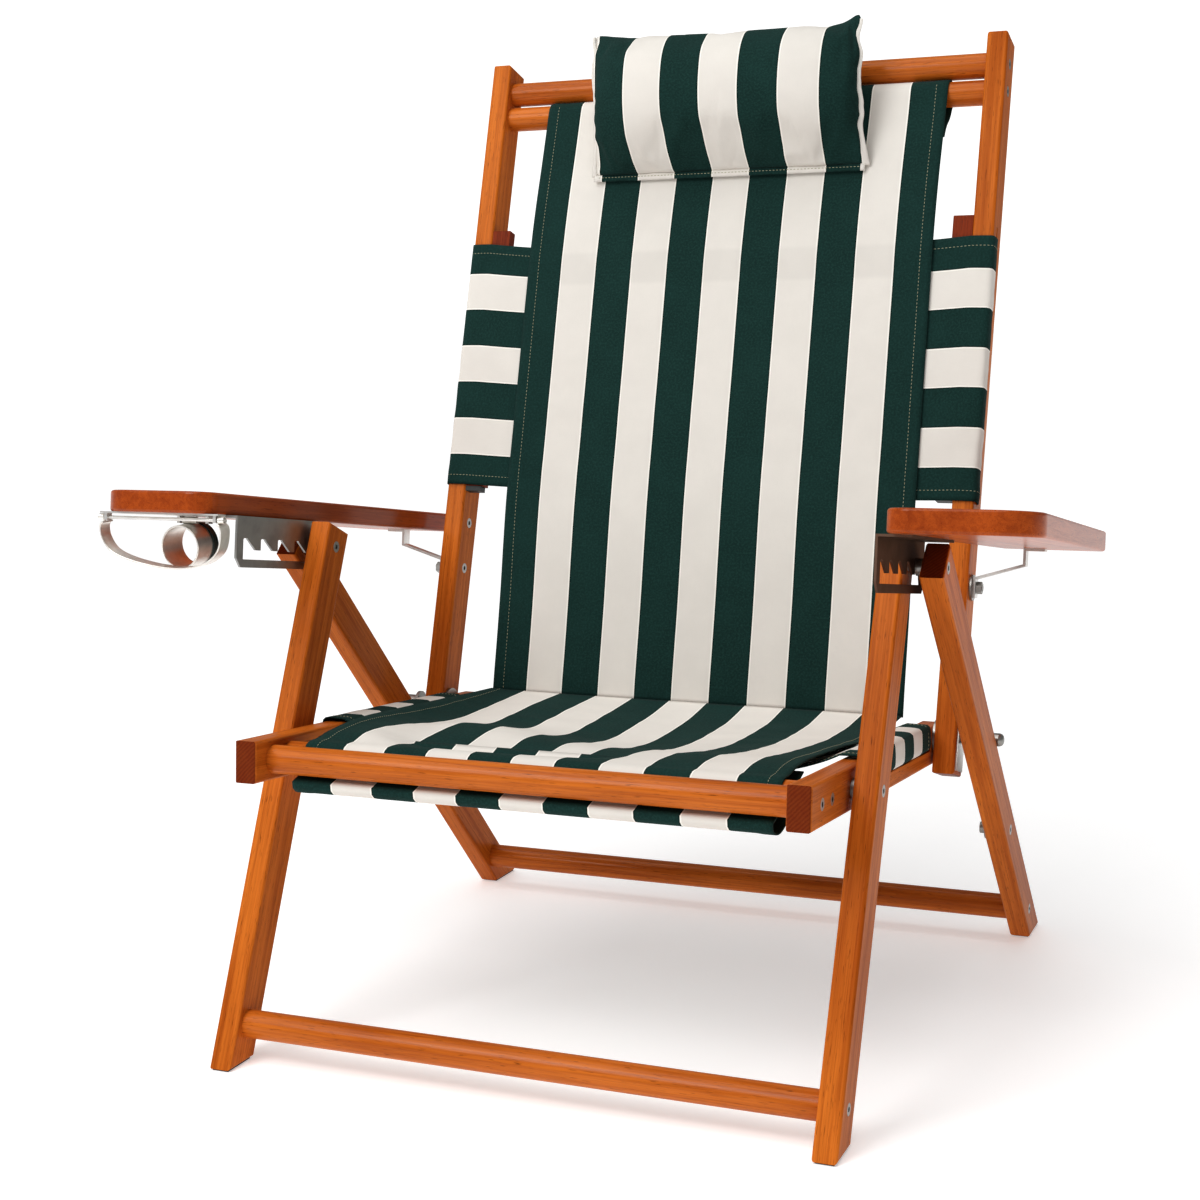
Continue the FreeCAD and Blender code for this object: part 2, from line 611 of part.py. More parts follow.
def pivots():
    """Split pivot bolts, washers, links, stops and the plates at the back rails' feet."""
    lean = z.front_lean.number
    inner_leg = z.front_leg_mid.number - z.member_thick.number / 2
    outer_leg = z.front_leg_mid.number + z.member_thick.number / 2
    near_plate = z.plate_mid.number - z.plate_thick.number / 2 - 0.3
    past_plate = z.plate_mid.number + z.plate_thick.number / 2 + 0.3
    rear_inner = z.rear_leg_mid.number - z.member_thick.number / 2
    rear_outer = z.rear_leg_mid.number + z.member_thick.number / 2
    group("leg_bolts_inner",
          [bolt(f"leg_bolt_inner_{side}", PIN, sign * inner_leg, sign * near_plate, z.pin_dia)
           for side, sign in SIDES])
    outer_bolts = []
    for side, sign in SIDES:
        stem = bolt(f"leg_bolt_outer_{side}", PIN, sign * rear_outer, sign * past_plate, z.pin_dia)
        long = rear_inner - past_plate
        low = past_plate if sign > 0 else -rear_inner
        spacer = rod(f"leg_spacer_{side}", z.pin_dia, long, low, PIN)
        outer_bolts.append(fused(f"leg_bolt_spaced_{side}", [stem, spacer]))
    group("leg_bolts_outer", outer_bolts)
    seat_inner = z.seat_rail_mid.number - z.member_thick.number / 2
    seat_outer = z.seat_rail_mid.number + z.member_thick.number / 2
    nut = (z.head_dia, z.head_deep)
    doubles = []
    for side, sign in SIDES:
        stem = bolt(f"seat_pivot_stem_{side}", SEAT_PIVOT, sign * outer_leg, sign * seat_inner, z.bolt_dia)
        low = seat_inner if sign > 0 else -seat_inner - nut[1].number
        doubles.append(fused(f"seat_pivot_bolt_{side}",
                             [stem, rod(f"seat_pivot_nut_{side}", nut[0] / 2, nut[1], low, SEAT_PIVOT)]))
    group("seat_pivot_bolts", doubles)
    washers = []
    for side, sign in SIDES:
        gap = z.front_leg_mid - z.seat_rail_mid - z.member_thick - 0.2
        low = inner_leg - gap.number if sign > 0 else -inner_leg
        disc = rod(f"seat_washer_disc_{side}", z.head_dia * 0.8, gap, low, SEAT_PIVOT)
        bore = rod(f"seat_washer_bore_{side}", z.bolt_dia / 2 + z.hole_play, gap, low, SEAT_PIVOT)
        washers.append(cut(f"seat_washer_{side}", disc, bore))
    group("seat_pivot_washers", washers)
    back_outer = z.back_rail_mid.number + z.member_thick.number / 2 + z.foot_plate_thick.number
    near_link = z.link_mid.number - z.link_thick.number / 2 - 1.0
    back_bolts = []
    for side, sign in SIDES:
        stem = bolt(f"back_pivot_stem_{side}", BACK_PIVOT, sign * seat_inner, sign * near_link, z.bolt_dia)
        nut_low = back_outer + 0.3 if sign > 0 else -back_outer - 0.3 - 5.0
        hexagon = doc.addObject("Part::Prism", f"back_pivot_nut_{side}")
        hexagon.Polygon = 6
        hexagon.setExpression("Circumradius", (z.bolt_dia * 0.96).text)
        hexagon.Height = 5.0
        hexagon.Placement = FreeCAD.Placement(Vector(nut_low, BACK_PIVOT[0] - MIDDLE, BACK_PIVOT[1]),
                                              FreeCAD.Rotation(Vector(0, 1, 0), 90))
        washer_gap = z.back_rail_mid - z.seat_rail_mid - z.member_thick - 0.4
        washer_low = seat_outer + 0.2 if sign > 0 else -seat_outer - 0.2 - washer_gap.number
        washer = rod(f"back_washer_{side}", z.back_washer_dia / 2, washer_gap, washer_low, BACK_PIVOT)
        back_bolts.append(fused(f"back_pivot_bolt_{side}", [stem, hexagon, washer]))
    group("back_pivot_bolts", back_bolts)
    half = z.foot_plate_wide / 2
    for side, sign in SIDES:
        plate = board(f"back_pivot_plate_{side}",
                      [(4 - z.back_foot_over, -half), (4 - z.back_foot_over + z.foot_plate_long, -half),
                       (4 - z.back_foot_over + z.foot_plate_long, half), (4 - z.back_foot_over, half)],
                      z.foot_plate_thick, holes=[(0, 0, hole_radius)],
                      corner_rounds=[(4 - z.back_foot_over + z.foot_plate_long, -half, 5.0),
                                     (4 - z.back_foot_over + z.foot_plate_long, half, 5.0)])
        out = z.back_rail_mid.number + z.member_thick.number / 2 + z.foot_plate_thick.number / 2
        placed(plate, frame(BACK_PIVOT, up(z.back_lean.number), sign * out))
    reach = math.dist(LINK_BOLT, BACK_PIVOT)
    toward = ((BACK_PIVOT[0] - LINK_BOLT[0]) / reach, (BACK_PIVOT[1] - LINK_BOLT[1]) / reach)
    end = z.link_wide / 2
    for side, sign in SIDES:
        corners = [(-end, -end), (reach + end, -end), (reach + end, end), (-end, end)]
        link = board(f"link_{side}", corners, z.link_thick,
                     holes=[(0, 0, hole_radius), (Size(reach, repr(reach)), 0, hole_radius)],
                     corner_rounds=[(x, y, end - 0.1) for x, y in corners])
        placed(link, frame(LINK_BOLT, toward, sign * z.link_mid.number))
    link_inner = z.link_mid.number - z.link_thick.number / 2
    link_outer = z.link_mid.number + z.link_thick.number / 2
    link_bolts = []
    for side, sign in SIDES:
        stem = bolt(f"link_stem_{side}", LINK_BOLT, sign * rear_outer, sign * (link_inner - 4.0), z.bolt_dia)
        low = link_inner - 0.2 - 5.0 if sign > 0 else -link_inner + 0.2
        cap = rod(f"link_nut_{side}", z.bolt_dia * 0.9, 5.0, low, LINK_BOLT)
        link_bolts.append(fused(f"link_bolt_{side}", [stem, cap]))
    group("link_bolts", link_bolts)
    stops = []
    head = z.stop_dia.number * 0.4
    for side, sign in SIDES:
        stem_low = link_inner if sign > 0 else -rear_outer - 1.5
        stem = rod(f"stop_stem_{side}", z.bolt_dia / 2, rear_outer + 1.5 - link_inner, stem_low, BACK_PIVOT)
        roller_low = link_outer if sign > 0 else -rear_outer - head
        roller = rod(f"stop_roller_{side}", z.stop_dia / 2, rear_outer + head - link_outer, roller_low, BACK_PIVOT)
        doc.recompute()
        rim = [number for number, edge in enumerate(roller.Shape.Edges, start=1)
               if abs(edge.CenterOfMass.x - sign * (rear_outer + head)) < 0.01]
        dome = doc.addObject("Part::Fillet", f"stop_dome_{side}")
        dome.Base = roller
        dome.Edges = [(number, head * 0.9, head * 0.9) for number in rim]
        stops.append(fused(f"stop_bolt_{side}", [stem, dome]))
    group("stop_bolts", stops)


def arm_normal(along, above):
    """A point of the side view by its distance behind the top bolt, along the arm, and above it."""
    slope = z.arm_slope.number
    return (PIN[0] + along * cosd(slope) + above * sind(slope),
            PIN[1] - along * sind(slope) + above * cosd(slope))


def flat_frame(point):
    """A placement whose local x runs to the rear along the arm, local y to +X and local z down."""
    slope = z.arm_slope.number
    matrix = FreeCAD.Matrix(0, 1, 0, 0,
                            cosd(slope), 0, -sind(slope), point[0] - MIDDLE,
                            -sind(slope), 0, -cosd(slope), point[1],
                            0, 0, 0, 1)
    return FreeCAD.Placement(matrix)


def cross_frame(point):
    """A placement whose local x is +X, local y square to the arm and local z to the front along it."""
    slope = z.arm_slope.number
    matrix = FreeCAD.Matrix(1, 0, 0, 0,
                            0, sind(slope), -cosd(slope), point[0] - MIDDLE,
                            0, cosd(slope), sind(slope), point[1],
                            0, 0, 0, 1)
    return FreeCAD.Placement(matrix)


def notch_window():
    """The toothed slot of a notch plate, from its front end to its rear end."""
    grip = z.pin_dia / 2 + 0.3
    tips = grip - z.notch_deep
    floor = tips - z.slot_high
    first = -z.notch_pitch * 4
    points = [(first - grip, floor)]
    for step in range(5):
        at = first + z.notch_pitch * step
        points.append((at - grip, grip - 1))
        points.append((at - grip + 1, grip))
        points.append((at + grip - 1, grip))
        points.append((at + grip, grip - 1.2))
        if step < 4:
            points.append((at + z.notch_pitch * 0.58, tips))
            points.append((at + z.notch_pitch - grip, tips))
    points.append((z.notch_pitch * 0.5, tips))
    points.append((z.notch_pitch * 0.62, floor))
    return points


def arms():
    """Arm boards with their notch plates, straps, pivot bolts and the cup holder."""
    slope = z.arm_slope.number
    level = (z.arm_rise + z.arm_thick / 2).number
    strap_at = ARM_PIVOT
    rail_face = z.back_rail_mid.number + z.member_thick.number / 2
    strap_face = rail_face + 0.4 + z.arm_washer_thick.number
    strap_along = ((strap_at[0] - PIN[0]) * cosd(slope) - (strap_at[1] - PIN[1]) * sind(slope))
    strap_under = ((strap_at[0] - PIN[0]) * sind(slope) + (strap_at[1] - PIN[1]) * cosd(slope))
    rear = z.arm_rear_over + strap_along
    for side, sign in SIDES:
        inner = z.arm_inner * sign
        front_outer = (z.arm_inner + z.arm_wide) * sign
        rear_outer = (z.arm_inner + z.arm_wide - z.arm_taper) * sign
        board_piece = board(f"arm_{side}",
                            [(-z.arm_front, inner), (rear, inner), (rear, rear_outer),
                             (-z.arm_front, front_outer)],
                            z.arm_thick,
                            corner_rounds=[(-z.arm_front, front_outer, 36.0), (-z.arm_front, inner, 20.0),
                                           (rear, rear_outer, 14.0), (rear, inner, 14.0)],
                            soften=z.edge_soft)
        placed(board_piece, flat_frame(arm_normal(0, level)))
        top = z.arm_rise
        low = z.pin_dia / 2 + 0.3 - z.notch_deep - z.slot_high - z.bar_wide
        web = board(f"notch_web_{side}",
                    [(-z.plate_front, top), (-z.plate_front, low + 8), (-z.plate_front + 7, low),
                     (z.plate_rear - 6, low), (z.plate_rear, low + 6), (z.plate_rear, top)],
                    z.plate_thick, window=notch_window())
        web.Placement = frame(PIN, (cosd(slope), -sind(slope)), sign * z.plate_mid.number)
        flange = board(f"notch_flange_{side}",
                       [(-z.plate_front, z.plate_mid * sign), (z.plate_rear, z.plate_mid * sign),
                        (z.plate_rear, (z.plate_mid + z.flange_wide) * sign),
                        (-z.plate_front, (z.plate_mid + z.flange_wide) * sign)],
                       z.plate_thick,
                       corner_rounds=[(-z.plate_front, (z.plate_mid + z.flange_wide) * sign, 6.0),
                                      (z.plate_rear, (z.plate_mid + z.flange_wide) * sign, 6.0)])
        flange.Placement = flat_frame(arm_normal(0, z.arm_rise.number - z.plate_thick.number / 2))
        whole = fused(f"notch_plate_{side}", [web, flange])
        whole.Label = f"notch_plate_{side}"
        keep(whole)
        rise = z.arm_rise.number - strap_under
        flange_x = strap_face + z.strap_thick.number / 2
        path = [(flange_x, -9.5), (flange_x, 8.5), (z.strap_out.number, 22.0),
                (z.strap_out.number, rise - z.strap_thick.number / 2),
                (z.strap_out.number + 18.0, rise - z.strap_thick.number / 2)]
        strap = bent_strip(f"strap_strip_{side}", [(sign * x, y) for x, y in path], z.strap_thick, z.strap_wide)
        strap.Placement = cross_frame(strap_at)
        drill = rod(f"strap_drill_{side}", z.bolt_dia / 2 + z.hole_play, 40.0,
                    flange_x - 20.0 if sign > 0 else -flange_x - 20.0, strap_at)
        piece = cut(f"arm_strap_{side}", strap, drill)
        piece.Label = f"arm_strap_{side}"
        keep(piece)
    inner = z.back_rail_mid.number - z.member_thick.number / 2
    outer = strap_face + z.strap_thick.number + 0.3
    near_link = z.link_mid.number - z.link_thick.number / 2 - 1.0
    bolts = []
    for side, sign in SIDES:
        stem = bolt(f"arm_pivot_stem_{side}", ARM_PIVOT, sign * inner, sign * near_link, z.bolt_dia)
        washer_low = rail_face + 0.2 if sign > 0 else -rail_face - 0.2 - z.arm_washer_thick.number
        disc = rod(f"arm_pivot_washer_{side}", z.arm_washer_dia / 2, z.arm_washer_thick, washer_low, ARM_PIVOT)
        nut = doc.addObject("Part::Prism", f"arm_pivot_nut_{side}")
        nut.Polygon = 6
        nut.setExpression("Circumradius", (z.bolt_dia * 0.96).text)
        nut.Height = 5.0
        nut.Placement = FreeCAD.Placement(
            Vector(outer if sign > 0 else -outer - 5.0, ARM_PIVOT[0] - MIDDLE, ARM_PIVOT[1]),
            FreeCAD.Rotation(Vector(0, 1, 0), 90))
        bolts.append(fused(f"arm_pivot_bolt_{side}", [stem, disc, nut]))
    group("arm_pivot_bolts", bolts)


def bent_strip(label, path, thick, wide):
    """A strip of metal bent along a path of straight runs, as a body in its own frame."""
    left, right = [], []
    half = thick.number / 2
    for i, (x, y) in enumerate(path):
        ways = []
        if i > 0:
            ways.append((x - path[i - 1][0], y - path[i - 1][1]))
        if i < len(path) - 1:
            ways.append((path[i + 1][0] - x, path[i + 1][1] - y))
        units = [(dx / math.hypot(dx, dy), dy / math.hypot(dx, dy)) for dx, dy in ways]
        nx = sum(-u[1] for u in units) / len(units)
        ny = sum(u[0] for u in units) / len(units)
        grow = half / (nx * nx + ny * ny)
        left.append((x + nx * grow, y + ny * grow))
        right.append((x - nx * grow, y - ny * grow))
    return board(label, left + right[::-1], wide)


def cup_holder():
    """Bracket, stirrup and bottle ring under the right arm."""
    sign = -1
    slope = z.arm_slope.number
    under = z.arm_rise.number
    pin_level = under - z.cup_pin_drop.number
    hoop_at = -z.arm_front.number + z.cup_front.number
    ring_at = hoop_at + z.cup_step.number
    middle = -(z.arm_inner.number - 11.0 + z.hoop_wide.number / 2)
    half = z.hoop_wide / 2
    hoop_pin = arm_normal(hoop_at, pin_level)
    ring_pin = arm_normal(ring_at, pin_level)
    beside = -(z.plate_mid + z.flange_wide + 1.5)
    outer_end = middle + 2 - half
    plate = board("cup_plate",
                  [(-6, outer_end), (z.cup_step + 6, outer_end), (z.cup_step + 6, beside), (6, beside),
                   (6, middle + half - 3), (-6, middle + half - 3)],
                  z.cup_metal, corner_rounds=[(-6, outer_end, 4.0)])
    plate.Placement = flat_frame(arm_normal(hoop_at, under - z.cup_metal.number / 2))
    pieces = [plate]
    reach = z.hoop_wide.number / 2 - 2.0
    for number, (at, pin, mid, long) in enumerate(((hoop_at, hoop_pin, middle, 2 * reach + 6.0),
                                                   (ring_at, ring_pin, -z.ring_mid.number, 32.0)), start=1):
        low = mid - long / 2
        pieces.append(rod(f"cup_pin_{number}", z.cup_pin_dia / 2, long, low, pin))
        inset = 7.5 if number == 1 else 0.0
        for end, name in ((low + inset, "a"), (low + long - inset - 3.0, "b")):
            lug = doc.addObject("Part::Box", f"cup_lug_{number}_{name}")
            lug.Length = 7.0
            lug.Width = 3.0
            lug.setExpression("Height", (z.cup_pin_drop + 2.0).text)
            lug.Placement = flat_frame(arm_normal(at, under - 0.5)).multiply(
                FreeCAD.Placement(Vector(-3.5, end, 0), FreeCAD.Rotation()))
            pieces.append(lug)
    bracket = fused("cup_bracket", pieces)
    bracket.Label = "cup_bracket"
    keep(bracket)
    drop = z.hoop_drop.number
    # The stirrup hangs lower towards the sitter, from an eye at each end of its pin.
    path = [(-reach, -2.6), (-reach + 1.5, -0.3 * drop), (-reach + 9.0, -0.64 * drop), (-reach + 30.0, -0.84 * drop),
            (reach * 0.25, -drop), (reach - 18.0, -0.88 * drop), (reach - 3.0, -0.6 * drop), (reach, -2.6)]
    strip = ribbon("cup_hoop_strip", path, z.cup_metal.number, z.hoop_strip.number,
                   FreeCAD.Placement(FreeCAD.Matrix(1, 0, 0, middle, 0, 0, -1, hoop_pin[0] - MIDDLE,
                                                    0, 1, 0, hoop_pin[1], 0, 0, 0, 1)))
    eyes = []
    for number, end in enumerate((middle - reach - 3.0, middle + reach - 3.0), start=1):
        eye = rod(f"hoop_eye_{number}", 3.4, 6.0, end, hoop_pin)
        eyes.append(eye)
    solid = fused("cup_hoop_solid", [strip] + eyes)
    hoop = cut("cup_hoop", solid, rod("hoop_bore", z.cup_pin_dia / 2 + z.hole_play, z.hoop_wide + 20, middle - half.number - 10, hoop_pin))
    hoop.Label = "cup_hoop"
    keep(hoop)
    ring_drop = z.ring_dia.number / 2 + 2.4
    outer = z.ring_dia / 2
    shell = doc.addObject("Part::Cylinder", "ring_shell")
    shell.setExpression("Radius", outer.text)
    shell.setExpression("Height", z.ring_long.text)
    bore = doc.addObject("Part::Cylinder", "ring_bore")
    bore.setExpression("Radius", (outer - z.cup_metal).text)
    bore.setExpression("Height", z.ring_long.text)
    lying = FreeCAD.Placement(Vector(-z.ring_mid.number, ring_pin[0] + z.ring_long.number / 2 - MIDDLE,
                                     ring_pin[1] - ring_drop),
                              FreeCAD.Rotation(Vector(1, 0, 0), 90))
    shell.Placement = lying
    bore.Placement = lying
    knuckle = rod("ring_knuckle", 3.4, 20.0, -z.ring_mid.number - 10.0, ring_pin)
    body = cut("ring_open", fused("ring_closed", [shell, knuckle]), bore)
    ring = cut("cup_ring", body, rod("ring_pin_bore", z.cup_pin_dia / 2 + z.hole_play, 30.0,
                                     -z.ring_mid.number - 15.0, ring_pin))
    ring.Label = "cup_ring"
    keep(ring)
    outside = doc.addObject("Part::Cylinder", "rim_outside")
    outside.setExpression("Radius", (outer + 1.6).text)
    outside.Height = 7.0
    inside = doc.addObject("Part::Cylinder", "rim_inside")
    inside.setExpression("Radius", outer.text)
    inside.Height = 7.0
    for piece in (outside, inside):
        piece.Placement = FreeCAD.Placement(
            Vector(-z.ring_mid.number, ring_pin[0] + z.ring_long.number / 2 - MIDDLE, ring_pin[1] - ring_drop),
            FreeCAD.Rotation(Vector(1, 0, 0), 90))
    rim = cut("cup_ring_rim", outside, inside)
    rim.Label = "cup_ring_rim"
    keep(rim)


def ribbon(name, path, thick, wide, placement):
    """A thin strip that follows a smooth path in its own x, y plane, wide along its own z."""
    curve = Part.BSplineCurve()
    curve.interpolate([Vector(x, y, 0) for x, y in path])
    count = 4 * len(path)
    sides = ([], [])
    for i in range(count + 1):
        at = curve.FirstParameter + (curve.LastParameter - curve.FirstParameter) * i / count
        point = curve.value(at) - Vector(0, 0, wide / 2)
        along = curve.tangent(at)[0]
        across = Vector(-along.y, along.x, 0) * (thick / 2)
        sides[0].append(point + across)
        sides[1].append(point - across)
    edges = []
    for side in sides:
        line = Part.BSplineCurve()
        line.interpolate(side)
        edges.append(line.toShape())
    edges.append(Part.makeLine(sides[0][0], sides[1][0]))
    edges.append(Part.makeLine(sides[0][-1], sides[1][-1]))
    face = Part.Face(Part.Wire(Part.__sortEdges__(edges)))
    feature = doc.addObject("Part::Feature", name)
    feature.Shape = face.extrude(Vector(0, 0, wide))
    feature.Placement = placement
    return feature


def cloth(label, path, half, dip_of, thick, placement):
    """A cloth lofted across the chair through equal profiles that dip towards the middle.

    The path is the side that touches the dowels, in local x, y; the cloth spans local z.
    """
    shares = (-1.0, -0.6, -0.2, 0.2, 0.6, 1.0) if dip_of else (-1.0,)
    wires = []
    for share in shares:
        near = [Vector(x, y - (dip_of(x) if dip_of else 0.0) * (1 - share * share), half * share) for x, y in path]
        far = []
        for i, point in enumerate(near):
            way = near[min(i + 1, len(near) - 1)] - near[max(i - 1, 0)]
            far.append(point + Vector(-way.y, way.x, 0).normalize() * thick)
        wires.append(Part.makePolygon(near + far[::-1] + near[:1]))
    feature = doc.addObject("Part::Feature", label)
    feature.Label = label
    if dip_of:
        feature.Shape = Part.makeLoft(wires, True, True)
    else:
        feature.Shape = Part.Face(wires[0]).extrude(Vector(0, 0, half * 2))
    feature.Placement = placement
    return keep(feature)


def loop_round(reach, radius, first, last, steps):
    """Points on an arc about (reach, 0), by angle from +y towards +x."""
    return [(reach + radius * sind(first + (last - first) * i / steps),
             radius * cosd(first + (last - first) * i / steps)) for i in range(steps + 1)]


def soft_parts():
    """Sling, bands, battens and the head pillow."""
    back = frame(BACK_PIVOT, up(z.back_lean.number))
    along = (cosd(z.seat_slope.number), -sind(z.seat_slope.number))
    seat = frame(SEAT_PIVOT, along)
    half = z.sling_wide.number / 2
    thick = z.cloth_thick.number
    clear = 0.3
    face = z.member_wide.number / 2
    over_band = face + z.band_thick.number + 2 * clear
    grip = z.dowel_dia.number / 2 + clear
    reach = z.top_dowel_reach.number - z.back_dowel_gap.number
    hem = [(reach - 3.74 * grip, 0.89 * grip), (reach - 2.76 * grip, 0.49 * grip), (reach - 1.71 * grip, -0.37 * grip)]
    hem += loop_round(reach, grip, 222.0, 0.0, 12)
    low, high = z.back_band_low.number, BAND_HIGH.number
    shoulder = (reach - 4.88 * grip, 1.23 * grip)
    band_top = high + 0.8 * face
    path = hem + [(reach - 1.95 * grip, 1.08 * grip), shoulder, (band_top, over_band),
                  (0.76 * high + 0.24 * low, over_band + clear), (0.24 * high + 0.76 * low, over_band + clear),
                  (low - 0.57 * face, over_band), (0.73 * low, over_band - 0.2 * face), (0.5 * low, 0.66 * face),
                  (0.27 * low, 0.49 * face), (0.073 * low, 0.286 * face)]
    cloth("sling_back", path, half, None, -thick, back)
    share = (PILLOW_FOOT.number - band_top) / (shoulder[0] - band_top)
    behind = over_band + share * (shoulder[1] - over_band)
    front = -z.seat_dowel_reach.number
    second = front + z.seat_dowel_gap.number
    under = -z.dowel_dia.number / 2 - z.loop_drop.number
    loop = [(second + 3.74 * grip, 0.98 * grip), (second + 2.44 * grip, 0.33 * grip),
            (second + 1.38 * grip, -0.98 * grip), (second + 0.16 * grip, under + 0.33 * grip),
            (second - 1.14 * grip, under), (second - 2.2 * grip, under + 0.24 * grip),
            (second - 2.44 * grip, under + 0.73 * grip), (second - 1.63 * grip, -1.14 * grip)]
    loop += loop_round(second, grip, -112.0, 0.0, 7)
    crease = z.seat_reach.number - 0.25 * face
    low, high = z.seat_band_front.number, BAND_REAR.number
    path = loop + [(second + 1.79 * grip, 1.08 * grip), (low - 1.71 * face, over_band - 0.18 * face),
                   (low - 0.34 * face, over_band), (0.78 * low + 0.22 * high, over_band + clear),
                   (0.27 * low + 0.73 * high, over_band + clear), (high, over_band + clear), (crease, 1.34 * face)]
    sag = z.seat_sag.number

    def seat_dip(x):
        share = (x - second) / (crease - second)
        return sag * 4 * share * (1 - share) if 0 < share < 1 else 0.0
    cloth("sling_seat", path, half, seat_dip, thick, seat)
    for label, rail_mid, low, high, dip, place, groove in (
            ("back_band", z.back_rail_mid, z.back_band_low, BAND_HIGH, 0.0, back, z.groove_off.number),
            ("seat_band", z.seat_rail_mid, z.seat_band_front, BAND_REAR, sag, seat, -z.groove_off.number)):
        outer = rail_mid.number + z.member_thick.number / 2
        band(label, outer, rail_mid.number - z.member_thick.number / 2, low.number, high.number, dip, groove, place)
    battens = []
    caps = []
    for side, sign in SIDES:
        out = z.back_rail_mid.number - z.member_thick.number / 2
        mid = out - z.batten_wide.number / 2
        batten = doc.addObject("Part::Box", f"batten_{side}")
        batten.setExpression("Length", (BAND_HIGH - z.back_band_low + 20).text)
        batten.setExpression("Width", z.batten_thick.text)
        batten.setExpression("Height", z.batten_wide.text)
        batten.Placement = back.multiply(FreeCAD.Placement(
            Vector(z.back_band_low.number, face - 1.0 - z.batten_thick.number, sign * mid - z.batten_wide.number / 2),
            FreeCAD.Rotation()))
        battens.append(batten)
        cap = doc.addObject("Part::Box", f"batten_cap_{side}")
        cap.Length = 5.0
        cap.setExpression("Width", z.batten_thick.text)
        cap.setExpression("Height", (z.batten_wide - 3).text)
        cap.Placement = back.multiply(FreeCAD.Placement(
            Vector(z.back_band_low.number - 5.0, face - 1.0 - z.batten_thick.number,
                   sign * mid - z.batten_wide.number / 2 + (0.0 if sign < 0 else 3.0)), FreeCAD.Rotation()))
        caps.append(cap)
    group("back_battens", battens)
    group("batten_caps", caps)
    pillow(back, behind + thick + clear)


def band(label, outer, inner, low, high, dip, groove, placement):
    """A doubled band of cloth from one rail's groove over its face to the other rail's groove."""
    thick = z.band_thick.number
    soft = z.edge_soft.number + 0.3
    front = z.member_wide.number / 2 + 0.3
    side = outer + 0.3
    deep = z.groove_deep.number - 0.6

    def run(grow, far):
        """One face of the band on the +X side, from the groove's bottom to the middle."""
        x_side = side + grow
        y_front = front + grow
        arc = soft + grow
        centre = (x_side - arc, y_front - arc)
        points = [(outer - deep, far), (x_side, far), (x_side, centre[1])]
        middle = (centre[0] + arc * cosd(45), centre[1] + arc * sind(45))
        return points, middle, (centre[0], y_front)

    near = run(0.0, groove + thick / 2)
    away = run(thick, groove - thick / 2)
    edges = []
    for points, middle, end in (near, away):
        for sign in (1, -1):
            spots = [Vector(low, y, sign * x) for x, y in points]
            for a, b in zip(spots, spots[1:]):
                edges.append(Part.makeLine(a, b))
            edges.append(Part.Arc(spots[-1], Vector(low, middle[1], sign * middle[0]),
                                  Vector(low, end[1], sign * end[0])).toShape())
            edges.append(Part.makeLine(Vector(low, end[1], sign * end[0]), Vector(low, end[1], sign * inner)))
        if dip > 0:
            edges.append(Part.Arc(Vector(low, end[1], inner), Vector(low, end[1] - dip, 0),
                                  Vector(low, end[1], -inner)).toShape())
        else:
            edges.append(Part.makeLine(Vector(low, end[1], inner), Vector(low, end[1], -inner)))
    for sign in (1, -1):
        edges.append(Part.makeLine(Vector(low, near[0][0][1], sign * near[0][0][0]),
                                   Vector(low, away[0][0][1], sign * away[0][0][0])))
    wire = Part.Wire(Part.__sortEdges__(edges))
    solid = Part.Face(wire).extrude(Vector(high - low, 0, 0))
    feature = doc.addObject("Part::Feature", label)
    feature.Label = label
    feature.Shape = solid
    feature.Placement = placement
    return keep(feature)


def pillow(back, level):
    """The head pillow: crowned, with drawn-in sides and a flat back against the sling."""
    wide = z.pillow_wide.number / 2
    high = z.pillow_high.number
    crown = z.pillow_thick.number
    sections = []
    for share, draw, rise in ((0.0, 0.0, 0.05), (0.1, 2.5, 0.5), (0.28, 5.5, 0.86), (0.5, 7.0, 1.0),
                              (0.72, 5.5, 0.86), (0.9, 2.5, 0.5), (1.0, 0.0, 0.05)):
        x = PILLOW_FOOT.number + high * share
        side = wide - draw
        edge = 3.0
        top = max(crown * rise, edge + 0.6)
        a, b = Vector(x, level, -side), Vector(x, level, side)
        c, d = Vector(x, level + edge, side), Vector(x, level + edge, -side)
        edges = [Part.makeLine(a, b), Part.makeLine(b, c),
                 Part.Arc(c, Vector(x, level + top, 0), d).toShape(), Part.makeLine(d, a)]
        sections.append(Part.Wire(edges))
    feature = doc.addObject("Part::Feature", "pillow")
    feature.Label = "pillow"
    feature.Shape = Part.makeLoft(sections, True, False)
    feature.Placement = back
    return keep(feature)


legs()
seat_frame()
back_frame()
pivots()
arms()
cup_holder()
soft_parts()

failed = [o.Label for o in doc.Objects if "Invalid" in o.State or "Error" in o.State]
failed += [label for label, feature in parts.items() if feature.Shape.isNull() or not feature.Shape.isValid()]
if failed:
    raise RuntimeError(f"these objects failed: {sorted(set(failed))}")
os.makedirs("parts", exist_ok=True)
for label, feature in parts.items():
    feature.Shape.exportStep(f"parts/{label}.step")
print(f"{len(parts)} sub-parts written")
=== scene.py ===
"""Looks of a folding wooden deck chair with a striped sling, side bands and a head pillow.

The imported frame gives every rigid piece. This script gives those pieces their finishes, sews the
cloth pieces round the frame, fills the pillow, and sets up a pale studio with the photograph's view.
Lengths in the classes are millimetres in the chair's side view unless a name says otherwise.
"""

import logging
import math
from dataclasses import dataclass, field, replace
from enum import Enum
from typing import Callable, Sequence

import bmesh
import bpy
import numpy as np
from mathutils import Matrix, Vector, noise

